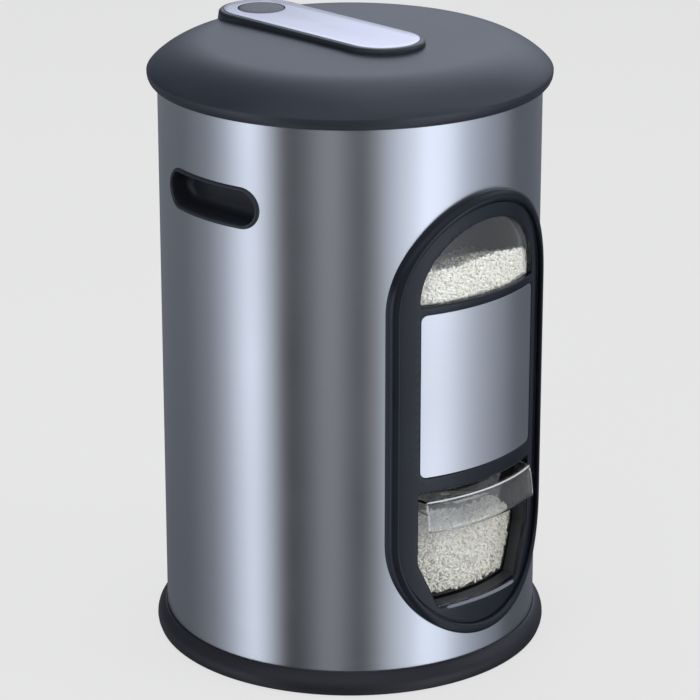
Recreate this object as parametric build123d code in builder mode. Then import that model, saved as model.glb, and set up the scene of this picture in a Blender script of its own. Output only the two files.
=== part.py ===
from build123d import *
from math import asin, cos, degrees, hypot, pi, radians, sin, sqrt
import os

# Rice keeper: a steel drum with a hinged lid, a hopper inside and a clear drawer at its foot.
# Millimetres. The drum's axis is Z, the floor is Z = 0 and the drawer pulls out along -Y.

# ---- drum and base -------------------------------------------------------------------------
body_radius = 135.0          # outside of the steel drum
shell_wall = 0.8
shell_low = 8.0              # lower edge, down in the base ring's groove
shell_high = 412.0           # upper edge, under the collar
base_reach = 7.3             # base ring's widest point, out from the drum
base_edge_inset = 1.5        # its lower edge, in from the widest point
base_height = 17.0
base_widest_height = 6.0
pad_stand = 1.0              # how far the rubber pads lift the ring
slip = 0.3                   # running gap between pieces that pass each other
ring_wall = 2.4
ring_skirt_high = 24.0
ring_flange_reach = 20.0     # inward flange that carries the floor disc
ring_flange = 3.0
floor_wall = 3.0
pad_count = 6
pad_radius = 6.5
pad_thickness = 2.5
pad_inset = 9.0              # middle of the pads, in from the drum
base_screw_inset = 17.5

# ---- fasteners -----------------------------------------------------------------------------
screw_radius = 1.5
screw_head_radius = 3.2
screw_head = 1.8
screw_clearance = 0.2
small_screw_radius = 1.1
small_screw_head_radius = 2.2
small_screw_head = 1.2

# ---- collar and hopper ---------------------------------------------------------------------
collar_flange = 3.0
collar_overhang = 0.6
collar_wall = 2.9
collar_depth = 16.0
ledge = 2.7                  # inward step that carries the hopper's rim
ledge_thickness = 3.0
liner_gap = 7.0              # between the drum's outside and the hopper's
liner_wall = 2.0
liner_rim = 2.0
funnel_high = 262.0          # where the round hopper starts to narrow
throat_high = 160.0          # where the funnel meets the square spout
funnel_step = 2.0            # the outside narrows this much lower than the inside
throat_half_width = 45.0
throat_inset = 25.0          # spout's front wall, in from the drum
throat_depth = 48.0

# ---- front bezel, window and label -----------------------------------------------------------
bezel_half_width = 74.3
bezel_low = 33.5
bezel_high = 359.0
bezel_end_rise = 79.0        # height of each rounded end
rim_height = 6.7             # raised rim above the drum's steel
rim_outer_round = 4.0
rim_inner_round = 2.0
rim_side = 5.8
rim_end = 9.0
field_height = 3.2           # flat field inside the rim
panel_half_width = 54.5      # window, label and drawer opening share this
window_low = 285.0
window_high = 339.0
window_side = 2.0            # upright stretch below the arch
pane_wall = 2.0
pane_lap = 4.0               # flange behind the bezel
pane_rim_wall = 1.5
window_round = 1.0           # softened front edges of the bezel's openings
mouth_round = 1.5
label_low = 160.0
label_high = 279.3
label_corner = 5.0
label_sheet = 0.8
label_recess = 1.2
label_gap = 0.4

# ---- drawer --------------------------------------------------------------------------------
opening_high = 148.5
opening_shoulder = 95.5      # where the sides start to draw in
opening_low = 61.0
opening_foot_half_width = 39.3
housing_wall = 2.5
drawer_side_gap = 1.0
drawer_floor_gap = 0.3
drawer_wall = 2.0
drawer_inset = 10.0          # the drawer's front follows the drum, this far in
drawer_top = 143.5
drawer_back = 20.0           # rear wall, in front of the axis
shutter_tail = 40.0          # rear end, behind the axis
shutter_wall = 2.4
lip_side_inset = 2.0         # the lip is this much narrower than the drawer, each side
lip_reach = 16.5
lip_drop = 22.5
lip_flare = 3.5
lip_wall = 1.8
lip_cheek_drop = 10.0
tab_height = 3.5
tab_wall = 2.0

# ---- hand grips ------------------------------------------------------------------------------
grip_height = 350.5          # centre line above the floor
grip_length = 91.0
grip_width = 29.5
grip_rim = 3.0
grip_lift = 1.6
grip_depth = 22.0            # pocket, measured from the drum's surface
grip_wall = 2.0
grip_hopper_gap = 0.7
grip_dent_margin = 2.5       # hopper's dent round the grip's cup

# ---- lid -------------------------------------------------------------------------------------
lid_reach = 7.3              # lid's widest point, out from the drum
lid_edge_reach = 2.2
lid_lap = 0.5                # how far the lid's edge hangs below the drum's top
lid_rise = 29.5              # edge to crown
lid_widest_rise = 8.1
lid_wall = 2.6
lid_inner_reach = 1.3
shoulder_run = 42.3          # from the flat crown's edge out to the lid's widest point
crown_fall = 1.0
shoulder_fall = 0.6          # how far the shoulder has dropped at its first handle
shoulder_pull = 24.0
side_pull = 2.4
liner_disc = 2.5
liner_disc_gap = 1.3         # to the lid's skirt
plug_wall = 3.0
plug_depth = 7.3
seal_thickness = 2.0
seal_inset = 2.1             # from the collar's outer edge
seal_width = 6.0
boss_inset = 48.3            # from the lid's widest point
boss_radius = 4.0
boss_count = 6
liner_screw_reach = 10.0     # screw length past the liner disc

# ---- tongue and vent button ------------------------------------------------------------------
tongue_rise = 3.8            # tongue's top above the crown
tongue_half_width = 30.5
tongue_front = 31.0          # centre of the round front end; the rear end is round the button
tongue_draft = 8.0
tongue_round = 2.5
face_half_width = 27.0
face_sheet = 1.2
face_gap = 0.2
face_stand = 0.4
button_inset = 50.3          # button's middle, in from the lid's widest point
button_radius = 16.7
button_gap = 0.5
button_wall = 1.5
button_crown = 3.2           # cap thickness at its middle
button_stand = 1.0
button_travel = 3.0
stem_radius = 2.5
stem_play = 0.08
well_floor_drop = 12.0       # spring seat below the crown
well_wall = 2.0
valve_radius = 7.5
valve_thickness = 1.7
valve_hole = 4.5
spring_radius = 6.0
spring_wire = 0.9
spring_turns = 5

# ---- hinge -----------------------------------------------------------------------------------
pivot_inset = 1.8            # pin, in from the lid's widest point
pivot_drop = 6.5             # pin, below the drum's upper edge
knuckle_radius = 4.5
pin_radius = 2.0
pin_head = 1.5
pin_play = 0.05
arm_half_width = 17.4
arm_top_rise = 4.0           # arm's root inside the lid, above its widest point
arm_back_rise = 2.0
arm_stand = 1.5              # arm's back beyond the lid
ear_gap = 0.6
ear_width = 11.0
bracket_wall = 3.5
bracket_drop = 13.0          # bracket's top, below the drum's upper edge
bracket_height = 41.0
hinge_screw_spread = 9.0
hinge_screw_drops = (46.0, 27.0)
nut_radius = 3.2
nut_thickness = 2.4

# ---- places that follow from the sizes above -------------------------------------------------
shell_inner = body_radius - shell_wall
base_radius = body_radius + base_reach
base_edge_radius = base_radius - base_edge_inset
pad_circle = body_radius - pad_inset
base_screw_circle = body_radius - base_screw_inset
collar_radius = body_radius + collar_overhang
liner_radius = body_radius - liner_gap
throat_front = body_radius - throat_inset
throat_back = throat_front - throat_depth
drawer_front_radius = body_radius - drawer_inset
lid_radius = body_radius + lid_reach
lid_edge_radius = body_radius + lid_edge_reach
lid_inner_radius = body_radius + lid_inner_reach
crown_radius = lid_radius - shoulder_run
liner_disc_radius = lid_inner_radius - liner_disc_gap
seal_outer = collar_radius - seal_inset
seal_inner = seal_outer - seal_width
boss_circle = lid_radius - boss_inset
button_place = lid_radius - button_inset
pivot_back = lid_radius - pivot_inset
pivot_height = shell_high - pivot_drop
bracket_high = shell_high - bracket_drop
bracket_low = bracket_high - bracket_height
hinge_screw_heights = [shell_high - drop for drop in hinge_screw_drops]
ring_low = pad_stand
floor_low = ring_low + ring_flange
floor_high = floor_low + floor_wall
groove_inner = shell_inner - slip
ring_inner = groove_inner - ring_wall
ring_flange_inner = ring_inner - ring_flange_reach
collar_top = shell_high + collar_flange
collar_inner = groove_inner - collar_wall
ledge_inner = collar_inner - ledge
ledge_top = shell_high - collar_depth + ledge_thickness
hopper_top = ledge_top + liner_rim
liner_inner = liner_radius - liner_wall
plug_radius = liner_inner
field_radius = body_radius + field_height
rim_radius = body_radius + rim_height
throat_low = drawer_top + 0.8
crown_height = shell_high - lid_lap + lid_rise
lid_edge = shell_high - lid_lap
tongue_top = crown_height + tongue_rise
face_top = tongue_top + face_stand
face_low = face_top - face_sheet
disc_low = collar_top + slip + seal_thickness
disc_high = disc_low + liner_disc
well_floor = crown_height - well_floor_drop
shutter_low = drawer_top - shutter_wall
housing_back = shutter_tail + 0.5
drawer_travel = shutter_tail - tab_wall + throat_back - liner_wall - 1.0
overall = face_top + 20.0
reach = base_radius + 20.0


# ---- shared tools ----------------------------------------------------------------------------
def arched_prism(half_width, low, high, low_rise, high_rise):
    """Front outline with upright sides and elliptical ends (rise 0 is flat), cut back to the axis."""
    with BuildPart() as prism:
        with BuildSketch(Plane.XZ):
            with BuildLine():
                Line((-half_width, low + low_rise), (-half_width, high - high_rise))
                Line((half_width, low + low_rise), (half_width, high - high_rise))
                EllipticalCenterArc((0, high - high_rise), half_width, high_rise, start_angle=0, arc_size=180)
                if low_rise > 0:
                    EllipticalCenterArc((0, low + low_rise), half_width, low_rise, start_angle=180, arc_size=180)
                else:
                    Line((-half_width, low), (half_width, low))
            make_face()
        extrude(amount=reach)
    return prism.part


def between_cylinders(prism, inner, outer):
    """The part of a prism that lies between two cylinders about the drum's axis."""
    with BuildPart() as block:
        add(prism)
        with BuildSketch():
            Circle(outer)
            Circle(inner, mode=Mode.SUBTRACT)
        extrude(amount=overall, mode=Mode.INTERSECT)
    return block.part


def window_prism(grow):
    """The arched window's outline, grown by a margin."""
    low = window_low - grow
    high = window_high + grow
    return arched_prism(panel_half_width + grow, low, high, 0, high - low - window_side)


def label_prism(shrink):
    """The label plate's outline."""
    with BuildPart() as prism:
        with BuildSketch(Plane.XZ):
            with Locations((0, (label_low + label_high) / 2)):
                RectangleRounded(
                    2 * (panel_half_width - shrink), label_high - label_low - 2 * shrink, label_corner
                )
        extrude(amount=reach)
    return prism.part


def drawer_outline(side_gap, floor_gap, top):
    """Upright section of the drawer: its sides draw in towards the floor."""
    half_width = panel_half_width - side_gap
    foot = opening_foot_half_width - side_gap / 2
    low = opening_low + floor_gap
    return Polyline(
        (-half_width, top), (-half_width, opening_shoulder), (-foot, low),
        (foot, low), (half_width, opening_shoulder), (half_width, top), close=True,
    )


def drawer_prism(grow, side_gap, floor_gap, top, front, back):
    """The drawer's section swept from a distance in front of the axis to one behind it."""
    with BuildPart() as prism:
        with BuildSketch(Plane.XZ.offset(-back)):
            with BuildLine():
                drawer_outline(side_gap, floor_gap, top)
            make_face()
            if grow:
                offset(amount=grow, kind=Kind.INTERSECTION)
        extrude(amount=front + back)
    return prism.part


def radial_plane(angle, height, radius):
    """Plane facing outward from the drum, at an angle from the front towards +X."""
    turn = radians(angle)
    return Plane(
        origin=(radius * sin(turn), -radius * cos(turn), height),
        x_dir=(cos(turn), sin(turn), 0),
        z_dir=(sin(turn), -cos(turn), 0),
    )


def edges_on_cylinder(builder, radius):
    """Edges that run on a cylinder about the drum's axis."""
    def on_it(edge):
        spots = [edge.position_at(share) for share in (0.0, 0.3, 0.7, 1.0)]
        return all(abs(hypot(spot.X, spot.Y) - radius) < 0.01 for spot in spots)
    return builder.edges().filter_by(on_it)


def lid_side(inset):
    """Lid surface from the crown's middle to its widest point, moved in by a wall."""
    crown = crown_height - inset
    Line((0, crown), (crown_radius, crown - crown_fall))
    Bezier(
        (crown_radius, crown - crown_fall),
        (crown_radius + shoulder_pull - inset / 2, crown - crown_fall - shoulder_fall),
        (lid_radius - inset, lid_edge + lid_widest_rise + side_pull - inset / 2),
        (lid_radius - inset, lid_edge + lid_widest_rise),
    )


def finish(part, name):
    """Name a finished piece and write it out."""
    part.label = name
    export_step(part, f"parts/{name}.step")


os.makedirs("parts", exist_ok=True)

# places on the drum: (angle from the front, height)
bezel_screw_angle = degrees(asin((bezel_half_width - 0.68 * rim_side) / body_radius))
bezel_middle = (bezel_low + bezel_high) / 2
bezel_screw_spread = 64.0
bezel_screw_places = [
    (side * bezel_screw_angle, bezel_middle + step * bezel_screw_spread)
    for side in (-1, 1)
    for step in (-1, 0, 1)
] + [(0.0, bezel_high - rim_end / 2), (0.0, bezel_low + rim_end / 2)]
hinge_screw_angle = degrees(asin(hinge_screw_spread / body_radius))
hinge_screw_places = [
    (180 + side * hinge_screw_angle, height) for side in (-1, 1) for height in hinge_screw_heights
]
housing_columns = [(-50.0, -80.0), (50.0, -80.0), (-50.0, 28.0), (50.0, 28.0)]
column_radius = 6.0

# ---- base ring -------------------------------------------------------------------------------
with BuildPart() as base_ring:
    with BuildSketch(Plane.XZ):
        with BuildLine():
            ThreePointArc(
                (base_edge_radius, ring_low),
                (base_radius, base_widest_height),
                (body_radius + slip, base_height),
            )
            Polyline(
                (body_radius + slip, base_height),
                (body_radius + slip, shell_low),
                (groove_inner, shell_low),
                (groove_inner, ring_skirt_high),
                (ring_inner, ring_skirt_high),
                (ring_inner, floor_low),
                (ring_flange_inner, floor_low),
                (ring_flange_inner, ring_low),
                (base_edge_radius, ring_low),
            )
        make_face()
    revolve(axis=Axis.Z)
    with BuildSketch(Plane.XY.offset(ring_low)):
        with PolarLocations(pad_circle, pad_count):
            Circle(pad_radius + screw_clearance)
    extrude(amount=pad_thickness - pad_stand, mode=Mode.SUBTRACT)
    with BuildSketch(Plane.XY.offset(ring_low)):
        with PolarLocations(base_screw_circle, pad_count, start_angle=180 / pad_count):
            Circle(screw_head_radius + screw_clearance)
    extrude(amount=screw_head, mode=Mode.SUBTRACT)
    with BuildSketch(Plane.XY.offset(ring_low)):
        with PolarLocations(base_screw_circle, pad_count, start_angle=180 / pad_count):
            Circle(screw_radius + screw_clearance)
    extrude(amount=ring_flange, mode=Mode.SUBTRACT)
finish(base_ring.part, "base_ring")

with BuildPart() as foot_pads:
    with BuildSketch():
        with PolarLocations(pad_circle, pad_count):
            Circle(pad_radius)
    extrude(amount=pad_thickness)
    chamfer(foot_pads.edges().group_by(Axis.Z)[0], length=0.5)
finish(foot_pads.part, "foot_pads")

# ---- floor disc: ribs beneath, bosses above for the ring's screws -----------------------------
rib_drop = 2.0
rib_width = 2.0
rib_count = 8
rib_inner = 32.0
rib_outer = ring_flange_inner - 3.0
screw_boss = 7.0
housing_screw_length = 12.0

with BuildPart() as bottom_plate:
    with BuildSketch(Plane.XY.offset(floor_low)):
        Circle(ring_inner - slip)
    extrude(amount=floor_wall)
    with BuildSketch(Plane.XY.offset(floor_high)):
        with PolarLocations(base_screw_circle, pad_count, start_angle=180 / pad_count):
            Circle(screw_radius + 2.5)
    extrude(amount=screw_boss)
    with BuildSketch(Plane.XY.offset(floor_low)):
        with PolarLocations((rib_inner + rib_outer - rib_width) / 2, rib_count):
            Rectangle(rib_outer - rib_inner, rib_width)
    extrude(amount=-rib_drop)
    for radius in (rib_inner, rib_outer):
        with BuildSketch(Plane.XY.offset(floor_low)):
            Circle(radius)
            Circle(radius - rib_width, mode=Mode.SUBTRACT)
        extrude(amount=-rib_drop)
    with BuildSketch(Plane.XY.offset(floor_low)):
        with PolarLocations(base_screw_circle, pad_count, start_angle=180 / pad_count):
            Circle(screw_radius)
    extrude(amount=floor_wall + screw_boss, mode=Mode.SUBTRACT)
    with BuildSketch(Plane.XY.offset(floor_low)):
        with Locations(*housing_columns):
            Circle(screw_radius + screw_clearance)
    extrude(amount=floor_wall, mode=Mode.SUBTRACT)
finish(bottom_plate.part, "bottom_plate")

with BuildPart() as base_screws:
    with BuildSketch(Plane.XY.offset(ring_low)):
        with PolarLocations(base_screw_circle, pad_count, start_angle=180 / pad_count):
            Circle(screw_head_radius)
    extrude(amount=screw_head)
    with BuildSketch(Plane.XY.offset(ring_low + screw_head)):
        with PolarLocations(base_screw_circle, pad_count, start_angle=180 / pad_count):
            Circle(screw_radius)
    extrude(amount=ring_flange + floor_wall + screw_boss - screw_head - 1.0)
finish(base_screws.part, "base_screws")

with BuildPart() as housing_screws:
    with BuildSketch(Plane.XY.offset(floor_low)):
        with Locations(*housing_columns):
            Circle(screw_head_radius)
    extrude(amount=-screw_head)
    with BuildSketch(Plane.XY.offset(floor_low)):
        with Locations(*housing_columns):
            Circle(screw_radius)
    extrude(amount=housing_screw_length)
finish(housing_screws.part, "housing_screws")

# ---- drum -------------------------------------------------------------------------------------
cutout_side = bezel_half_width - rim_side - 0.5
bezel_cutout = arched_prism(
    cutout_side, bezel_low + rim_end, bezel_high - rim_end, bezel_end_rise - rim_end, bezel_end_rise - rim_end
)
grip_cup_length = grip_length - 2 * grip_rim + 2 * grip_wall
grip_cup_width = grip_width - 2 * grip_rim + 2 * grip_wall

with BuildPart() as outer_shell:
    with BuildSketch(Plane.XY.offset(shell_low)):
        Circle(body_radius)
        Circle(shell_inner, mode=Mode.SUBTRACT)
    extrude(amount=shell_high - shell_low)
    add(bezel_cutout, mode=Mode.SUBTRACT)
    with BuildSketch(Plane.YZ):
        with Locations((0, grip_height)):
            SlotOverall(grip_cup_length + 0.4, grip_cup_width + 0.4)
    extrude(amount=reach, both=True, mode=Mode.SUBTRACT)
    for angle, height in bezel_screw_places:
        with BuildSketch(radial_plane(angle, height, liner_radius)):
            Circle(small_screw_radius + screw_clearance)
        extrude(amount=rim_radius - liner_radius, mode=Mode.SUBTRACT)
    for angle, height in hinge_screw_places:
        with BuildSketch(radial_plane(angle, height, liner_radius)):
            Circle(screw_radius + screw_clearance)
        extrude(amount=rim_radius - liner_radius, mode=Mode.SUBTRACT)
finish(outer_shell.part, "outer_shell")

# ---- collar on the drum's top edge ------------------------------------------------------------
with BuildPart() as top_collar:
    with BuildSketch(Plane.XZ):
        with BuildLine():
            Polyline(
                (collar_inner, collar_top),
                (collar_radius, collar_top),
                (collar_radius, shell_high),
                (groove_inner, shell_high),
                (groove_inner, shell_high - collar_depth),
                (ledge_inner, shell_high - collar_depth),
                (ledge_inner, ledge_top),
                (collar_inner, ledge_top),
                close=True,
            )
        make_face()
    revolve(axis=Axis.Z)
    chamfer(top_collar.edges().group_by(Axis.Z)[-1], length=0.6)
finish(top_collar.part, "top_collar")


# ---- hopper: round above, oblique funnel, square spout over the drawer ------------------------
def hopper_volume(radius, funnel_start, spout_start, wall, spout_end, top):
    """Solid of the hopper's outside (wall > 0) or of the space inside it (wall = 0)."""
    across = throat_half_width + wall
    front = -throat_front - wall
    back = -throat_back + wall
    corners = ((across, front), (across, back), (-across, back), (-across, front))
    rim_angles = [degrees(asin(-sqrt(0.5))) + 90 * quarter for quarter in range(4)]
    with BuildPart() as volume:
        with BuildSketch(Plane.XY.offset(funnel_start)):
            with BuildLine():
                for angle in rim_angles:
                    CenterArc((0, 0), radius, angle, 90)
            make_face()
        with BuildSketch(Plane.XY.offset(spout_start)):
            with BuildLine():
                Polyline(*corners, close=True)
            make_face()
        loft(ruled=True)
        with BuildSketch(Plane.XY.offset(funnel_start)):
            Circle(radius)
        extrude(amount=top - funnel_start)
        with BuildSketch(Plane.XY.offset(spout_start)):
            with BuildLine():
                Polyline(*corners, close=True)
            make_face()
        extrude(amount=spout_end - spout_start)
    return volume.part


def grip_clearance(grow, back_off):
    """Blocks that keep the hopper clear of both hand-grip cups."""
    floor = body_radius - grip_depth - grip_wall - grip_hopper_gap - back_off
    with BuildPart() as blocks:
        with BuildSketch(Plane.YZ.offset(floor)):
            with Locations((0, grip_height)):
                RectangleRounded(grip_cup_length + 2 * grow, grip_cup_width + 2 * grow, 6.0)
        extrude(amount=reach - floor)
        mirror(about=Plane.YZ)
    return blocks.part


with BuildPart() as hopper_outside:
    add(
        hopper_volume(
            liner_radius, funnel_high - funnel_step, throat_high - funnel_step, liner_wall, throat_low, hopper_top
        )
    )
    add(grip_clearance(grip_dent_margin, 0), mode=Mode.SUBTRACT)
    with BuildSketch(Plane.XY.offset(ledge_top)):
        Circle(collar_inner - slip)
    extrude(amount=liner_rim)

with BuildPart() as hopper_inside:
    add(hopper_volume(liner_inner, funnel_high, throat_high, 0, throat_low - 1.0, hopper_top + 1.0))
    add(grip_clearance(grip_dent_margin + liner_wall, liner_wall), mode=Mode.SUBTRACT)

with BuildPart() as hopper:
    add(hopper_outside.part)
    add(hopper_inside.part, mode=Mode.SUBTRACT)
    add(window_prism(pane_rim_wall + 0.4), mode=Mode.SUBTRACT)
finish(hopper.part, "hopper")

# ---- drawer housing ----------------------------------------------------------------------------
mouth_radius = groove_inner - 0.3
hold_down_half_width = throat_half_width + liner_wall + 2.0
hold_down_gap = 0.5

with BuildPart() as drawer_housing:
    add(drawer_prism(housing_wall, 0, 0, opening_high, body_radius, housing_back + housing_wall))
    with BuildSketch(Plane.XY.offset(floor_high)):
        with Locations(*housing_columns):
            Circle(column_radius)
    extrude(amount=opening_shoulder - floor_high)
    add(drawer_prism(0, 0, 0, opening_high, reach, housing_back), mode=Mode.SUBTRACT)
    for side in (-1, 1):
        with BuildSketch(Plane.XZ.offset(-housing_back)):
            with Locations((side * (hold_down_half_width + panel_half_width) / 2, opening_high)):
                Rectangle(
                    panel_half_width - hold_down_half_width,
                    opening_high - drawer_top - hold_down_gap,
                    align=(Align.CENTER, Align.MAX),
                )
        extrude(amount=housing_back + throat_front)
    with BuildSketch(Plane.XY):
        Circle(mouth_radius)
    extrude(amount=overall, mode=Mode.INTERSECT)
    with BuildSketch(Plane.XY.offset(opening_high)):
        with Locations((0, -(throat_front + throat_back) / 2)):
            Rectangle(
                2 * (throat_half_width + liner_wall + slip),
                throat_front - throat_back + 2 * (liner_wall + slip),
            )
    extrude(amount=housing_wall, mode=Mode.SUBTRACT)
    with BuildSketch(Plane.XY.offset(floor_high)):
        with Locations(*housing_columns):
            Circle(screw_radius)
    extrude(amount=housing_screw_length, mode=Mode.SUBTRACT)
finish(drawer_housing.part, "drawer_housing")

# ---- front bezel: raised rounded rim, flat field, three openings ------------------------------
rim_block = between_cylinders(
    arched_prism(bezel_half_width, bezel_low, bezel_high, bezel_end_rise, bezel_end_rise),
    body_radius,
    rim_radius,
)
field_block = between_cylinders(
    arched_prism(
        bezel_half_width - rim_side,
        bezel_low + rim_end,
        bezel_high - rim_end,
        bezel_end_rise - rim_end,
        bezel_end_rise - rim_end,
    ),
    field_radius,
    rim_radius + 1.0,
)
mouth_collar = between_cylinders(
    drawer_prism(housing_wall, 0, 0, opening_high, reach, 0), mouth_radius, body_radius + 0.5
)

with BuildPart() as front_bezel:
    add(rim_block)
    fillet(edges_on_cylinder(front_bezel, rim_radius), radius=rim_outer_round)
    add(field_block, mode=Mode.SUBTRACT)
    inner_rim = [
        edge for edge in edges_on_cylinder(front_bezel, rim_radius)
        if abs(edge.center().X) < bezel_half_width - rim_side + 1.0
        and bezel_low + rim_end - 1.0 < edge.center().Z < bezel_high - rim_end + 1.0
    ]
    fillet(inner_rim, radius=rim_inner_round)
    add(mouth_collar)
    add(window_prism(0), mode=Mode.SUBTRACT)
    add(drawer_prism(0, 0, 0, opening_high, reach, 0), mode=Mode.SUBTRACT)
    opening_edges = [
        edge for edge in edges_on_cylinder(front_bezel, field_radius)
        if abs(edge.center().X) < panel_half_width + 0.5
    ]
    fillet([edge for edge in opening_edges if opening_low - 1 < edge.center().Z < label_low], radius=mouth_round)
    fillet([edge for edge in opening_edges if label_high < edge.center().Z < window_high + 1], radius=window_round)
    add(between_cylinders(label_prism(0), field_radius - label_recess, rim_radius), mode=Mode.SUBTRACT)
    for angle, height in bezel_screw_places:
        with BuildSketch(radial_plane(angle, height, body_radius - 1.0)):
            Circle(small_screw_radius)
        extrude(amount=field_height + 1.0, mode=Mode.SUBTRACT)
finish(front_bezel.part, "front_bezel")

with BuildPart() as bezel_screws:
    for angle, height in bezel_screw_places:
        with BuildSketch(radial_plane(angle, height, shell_inner - 0.1)):
            Circle(small_screw_head_radius)
        extrude(amount=-small_screw_head)
        with BuildSketch(radial_plane(angle, height, shell_inner - 0.1)):
            Circle(small_screw_radius)
        extrude(amount=shell_wall + 0.1 + field_height - 0.2)
finish(bezel_screws.part, "bezel_screws")

# ---- window: curved pane, its rim runs back into the hopper ------------------------------------
pane_back = body_radius - pane_wall

with BuildPart() as window_pane:
    add(between_cylinders(window_prism(pane_lap), pane_back, body_radius))
    add(between_cylinders(window_prism(pane_rim_wall), liner_inner - 1.0, pane_back))
    add(between_cylinders(window_prism(0), liner_inner - 2.0, pane_back), mode=Mode.SUBTRACT)
finish(window_pane.part, "window_pane")

with BuildPart() as window_gasket:
    add(between_cylinders(window_prism(pane_lap), liner_radius, pane_back))
    add(window_prism(pane_rim_wall + 0.1), mode=Mode.SUBTRACT)
finish(window_gasket.part, "window_gasket")

label_seat = field_radius - label_recess
label_plate = Part() + between_cylinders(label_prism(label_gap), label_seat, label_seat + label_sheet)
finish(label_plate, "label_plate")

# ---- hand grips: one shape, turned half a turn for the other side ------------------------------
grip_floor_round = 5.0
hook_rise = 1.4
hook_half_width = 6.0


def grip_plug(length, width, depth, floor_round):
    """Slot-shaped block reaching in from the drum's side, rounded at its inner end."""
    with BuildPart() as plug:
        with BuildSketch(Plane.YZ.offset(body_radius - depth)):
            with Locations((0, grip_height)):
                SlotOverall(length, width)
        extrude(amount=depth + grip_lift + 1.0)
        fillet(plug.faces().sort_by(Axis.X)[0].edges(), radius=floor_round)
    return plug.part


grip_rim_block = grip_plug(grip_length, grip_width, 30.0, 1.0)

with BuildPart() as grip_right:
    add(grip_plug(grip_cup_length, grip_cup_width, grip_depth + grip_wall, grip_floor_round + grip_wall))
    with BuildSketch():
        Circle(body_radius)
    extrude(amount=overall, mode=Mode.INTERSECT)
    for side in (-1, 1):
        edge = grip_height + side * grip_cup_width / 2
        with BuildSketch(Plane.XZ):
            with BuildLine():
                Polyline(
                    (shell_inner - 9.0, edge - side),
                    (shell_inner - 0.4, edge - side),
                    (shell_inner - 0.4, edge + side * hook_rise),
                    close=True,
                )
            make_face()
        extrude(amount=hook_half_width, both=True)
    add(between_cylinders(grip_rim_block, body_radius, body_radius + grip_lift))
    fillet(edges_on_cylinder(grip_right, body_radius + grip_lift), radius=1.2)
    add(
        grip_plug(grip_length - 2 * grip_rim, grip_width - 2 * grip_rim, grip_depth, grip_floor_round),
        mode=Mode.SUBTRACT,
    )
finish(grip_right.part, "grip_right")

with BuildPart() as grip_left:
    add(grip_right.part, rotation=(0, 0, 180))
finish(grip_left.part, "grip_left")

# ---- drawer: clear tray whose front follows the drum, with a flared pull lip --------------------
lip_half_width = panel_half_width - drawer_side_gap - lip_side_inset
lip_edge_radius = drawer_front_radius + lip_reach


def lip_profile(wall):
    """Half section of the pull lip: a shelf and a flange that flares outward as it drops."""
    return Polyline(
        (drawer_front_radius - drawer_wall / 2, drawer_top),
        (lip_edge_radius, drawer_top),
        (lip_edge_radius + lip_flare, drawer_top - lip_drop),
        (lip_edge_radius + lip_flare - wall, drawer_top - lip_drop),
        (lip_edge_radius - wall, drawer_top - wall),
        (drawer_front_radius - drawer_wall / 2, drawer_top - wall),
        close=True,
    )


def lip_slice(half_width):
    """Front slab that trims the turned lip to its width."""
    with BuildPart() as slab:
        with BuildSketch(Plane.XZ):
            with Locations((0, drawer_top)):
                Rectangle(2 * half_width, 4 * lip_drop)
        extrude(amount=reach)
    return slab.part


with BuildPart() as pull_lip:
    with BuildSketch(Plane.XZ):
        with BuildLine():
            lip_profile(lip_wall)
        make_face()
    revolve(axis=Axis.Z)
    add(lip_slice(lip_half_width), mode=Mode.INTERSECT)

with BuildPart() as lip_cheeks:
    with BuildSketch(Plane.XZ):
        with BuildLine():
            Polyline(
                (drawer_front_radius - drawer_wall / 2, drawer_top - 0.5),
                (lip_edge_radius - 0.5, drawer_top - 0.5),
                (lip_edge_radius + lip_flare * 0.5 - 0.5, drawer_top - lip_cheek_drop),
                (drawer_front_radius - drawer_wall / 2, drawer_top - lip_cheek_drop / 2),
                close=True,
            )
        make_face()
    revolve(axis=Axis.Z)
    add(lip_slice(lip_half_width), mode=Mode.INTERSECT)
    add(lip_slice(lip_half_width - lip_wall), mode=Mode.SUBTRACT)

with BuildPart() as tray_outside:
    add(drawer_prism(0, drawer_side_gap, drawer_floor_gap, drawer_top, body_radius, -drawer_back))
    with BuildSketch():
        Circle(drawer_front_radius)
    extrude(amount=overall, mode=Mode.INTERSECT)

with BuildPart() as tray_inside:
    add(
        drawer_prism(
            -drawer_wall, drawer_side_gap, drawer_floor_gap,
            drawer_top + 2 * drawer_wall, body_radius, -drawer_back - drawer_wall,
        )
    )
    with BuildSketch():
        Circle(drawer_front_radius - drawer_wall)
    extrude(amount=overall, mode=Mode.INTERSECT)

shutter_flange = 14.0
shutter_screw_drop = 7.0
shutter_screw_spread = 25.0

with BuildPart() as drawer_tray:
    add(tray_outside.part)
    add(tray_inside.part, mode=Mode.SUBTRACT)
    with BuildSketch(Plane.XY.offset(shutter_low)):
        with Locations((0, -drawer_back)):
            Rectangle(
                2 * (panel_half_width - drawer_side_gap - drawer_wall), 2 * drawer_wall + 0.4
            )
    extrude(amount=2 * shutter_wall, mode=Mode.SUBTRACT)
    add(pull_lip.part)
    add(lip_cheeks.part)
    with BuildSketch(Plane.XZ.offset(drawer_back)):
        with Locations(
            (-shutter_screw_spread, shutter_low - shutter_screw_drop),
            (shutter_screw_spread, shutter_low - shutter_screw_drop),
        ):
            Circle(small_screw_radius)
    extrude(amount=drawer_wall, mode=Mode.SUBTRACT)
finish(drawer_tray.part, "drawer_tray")

# ---- shutter: tail plate that slides under the spout when the drawer is out ---------------------
shutter_half_width = panel_half_width - drawer_side_gap - drawer_wall - slip
shutter_skirt = 5.0

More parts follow.
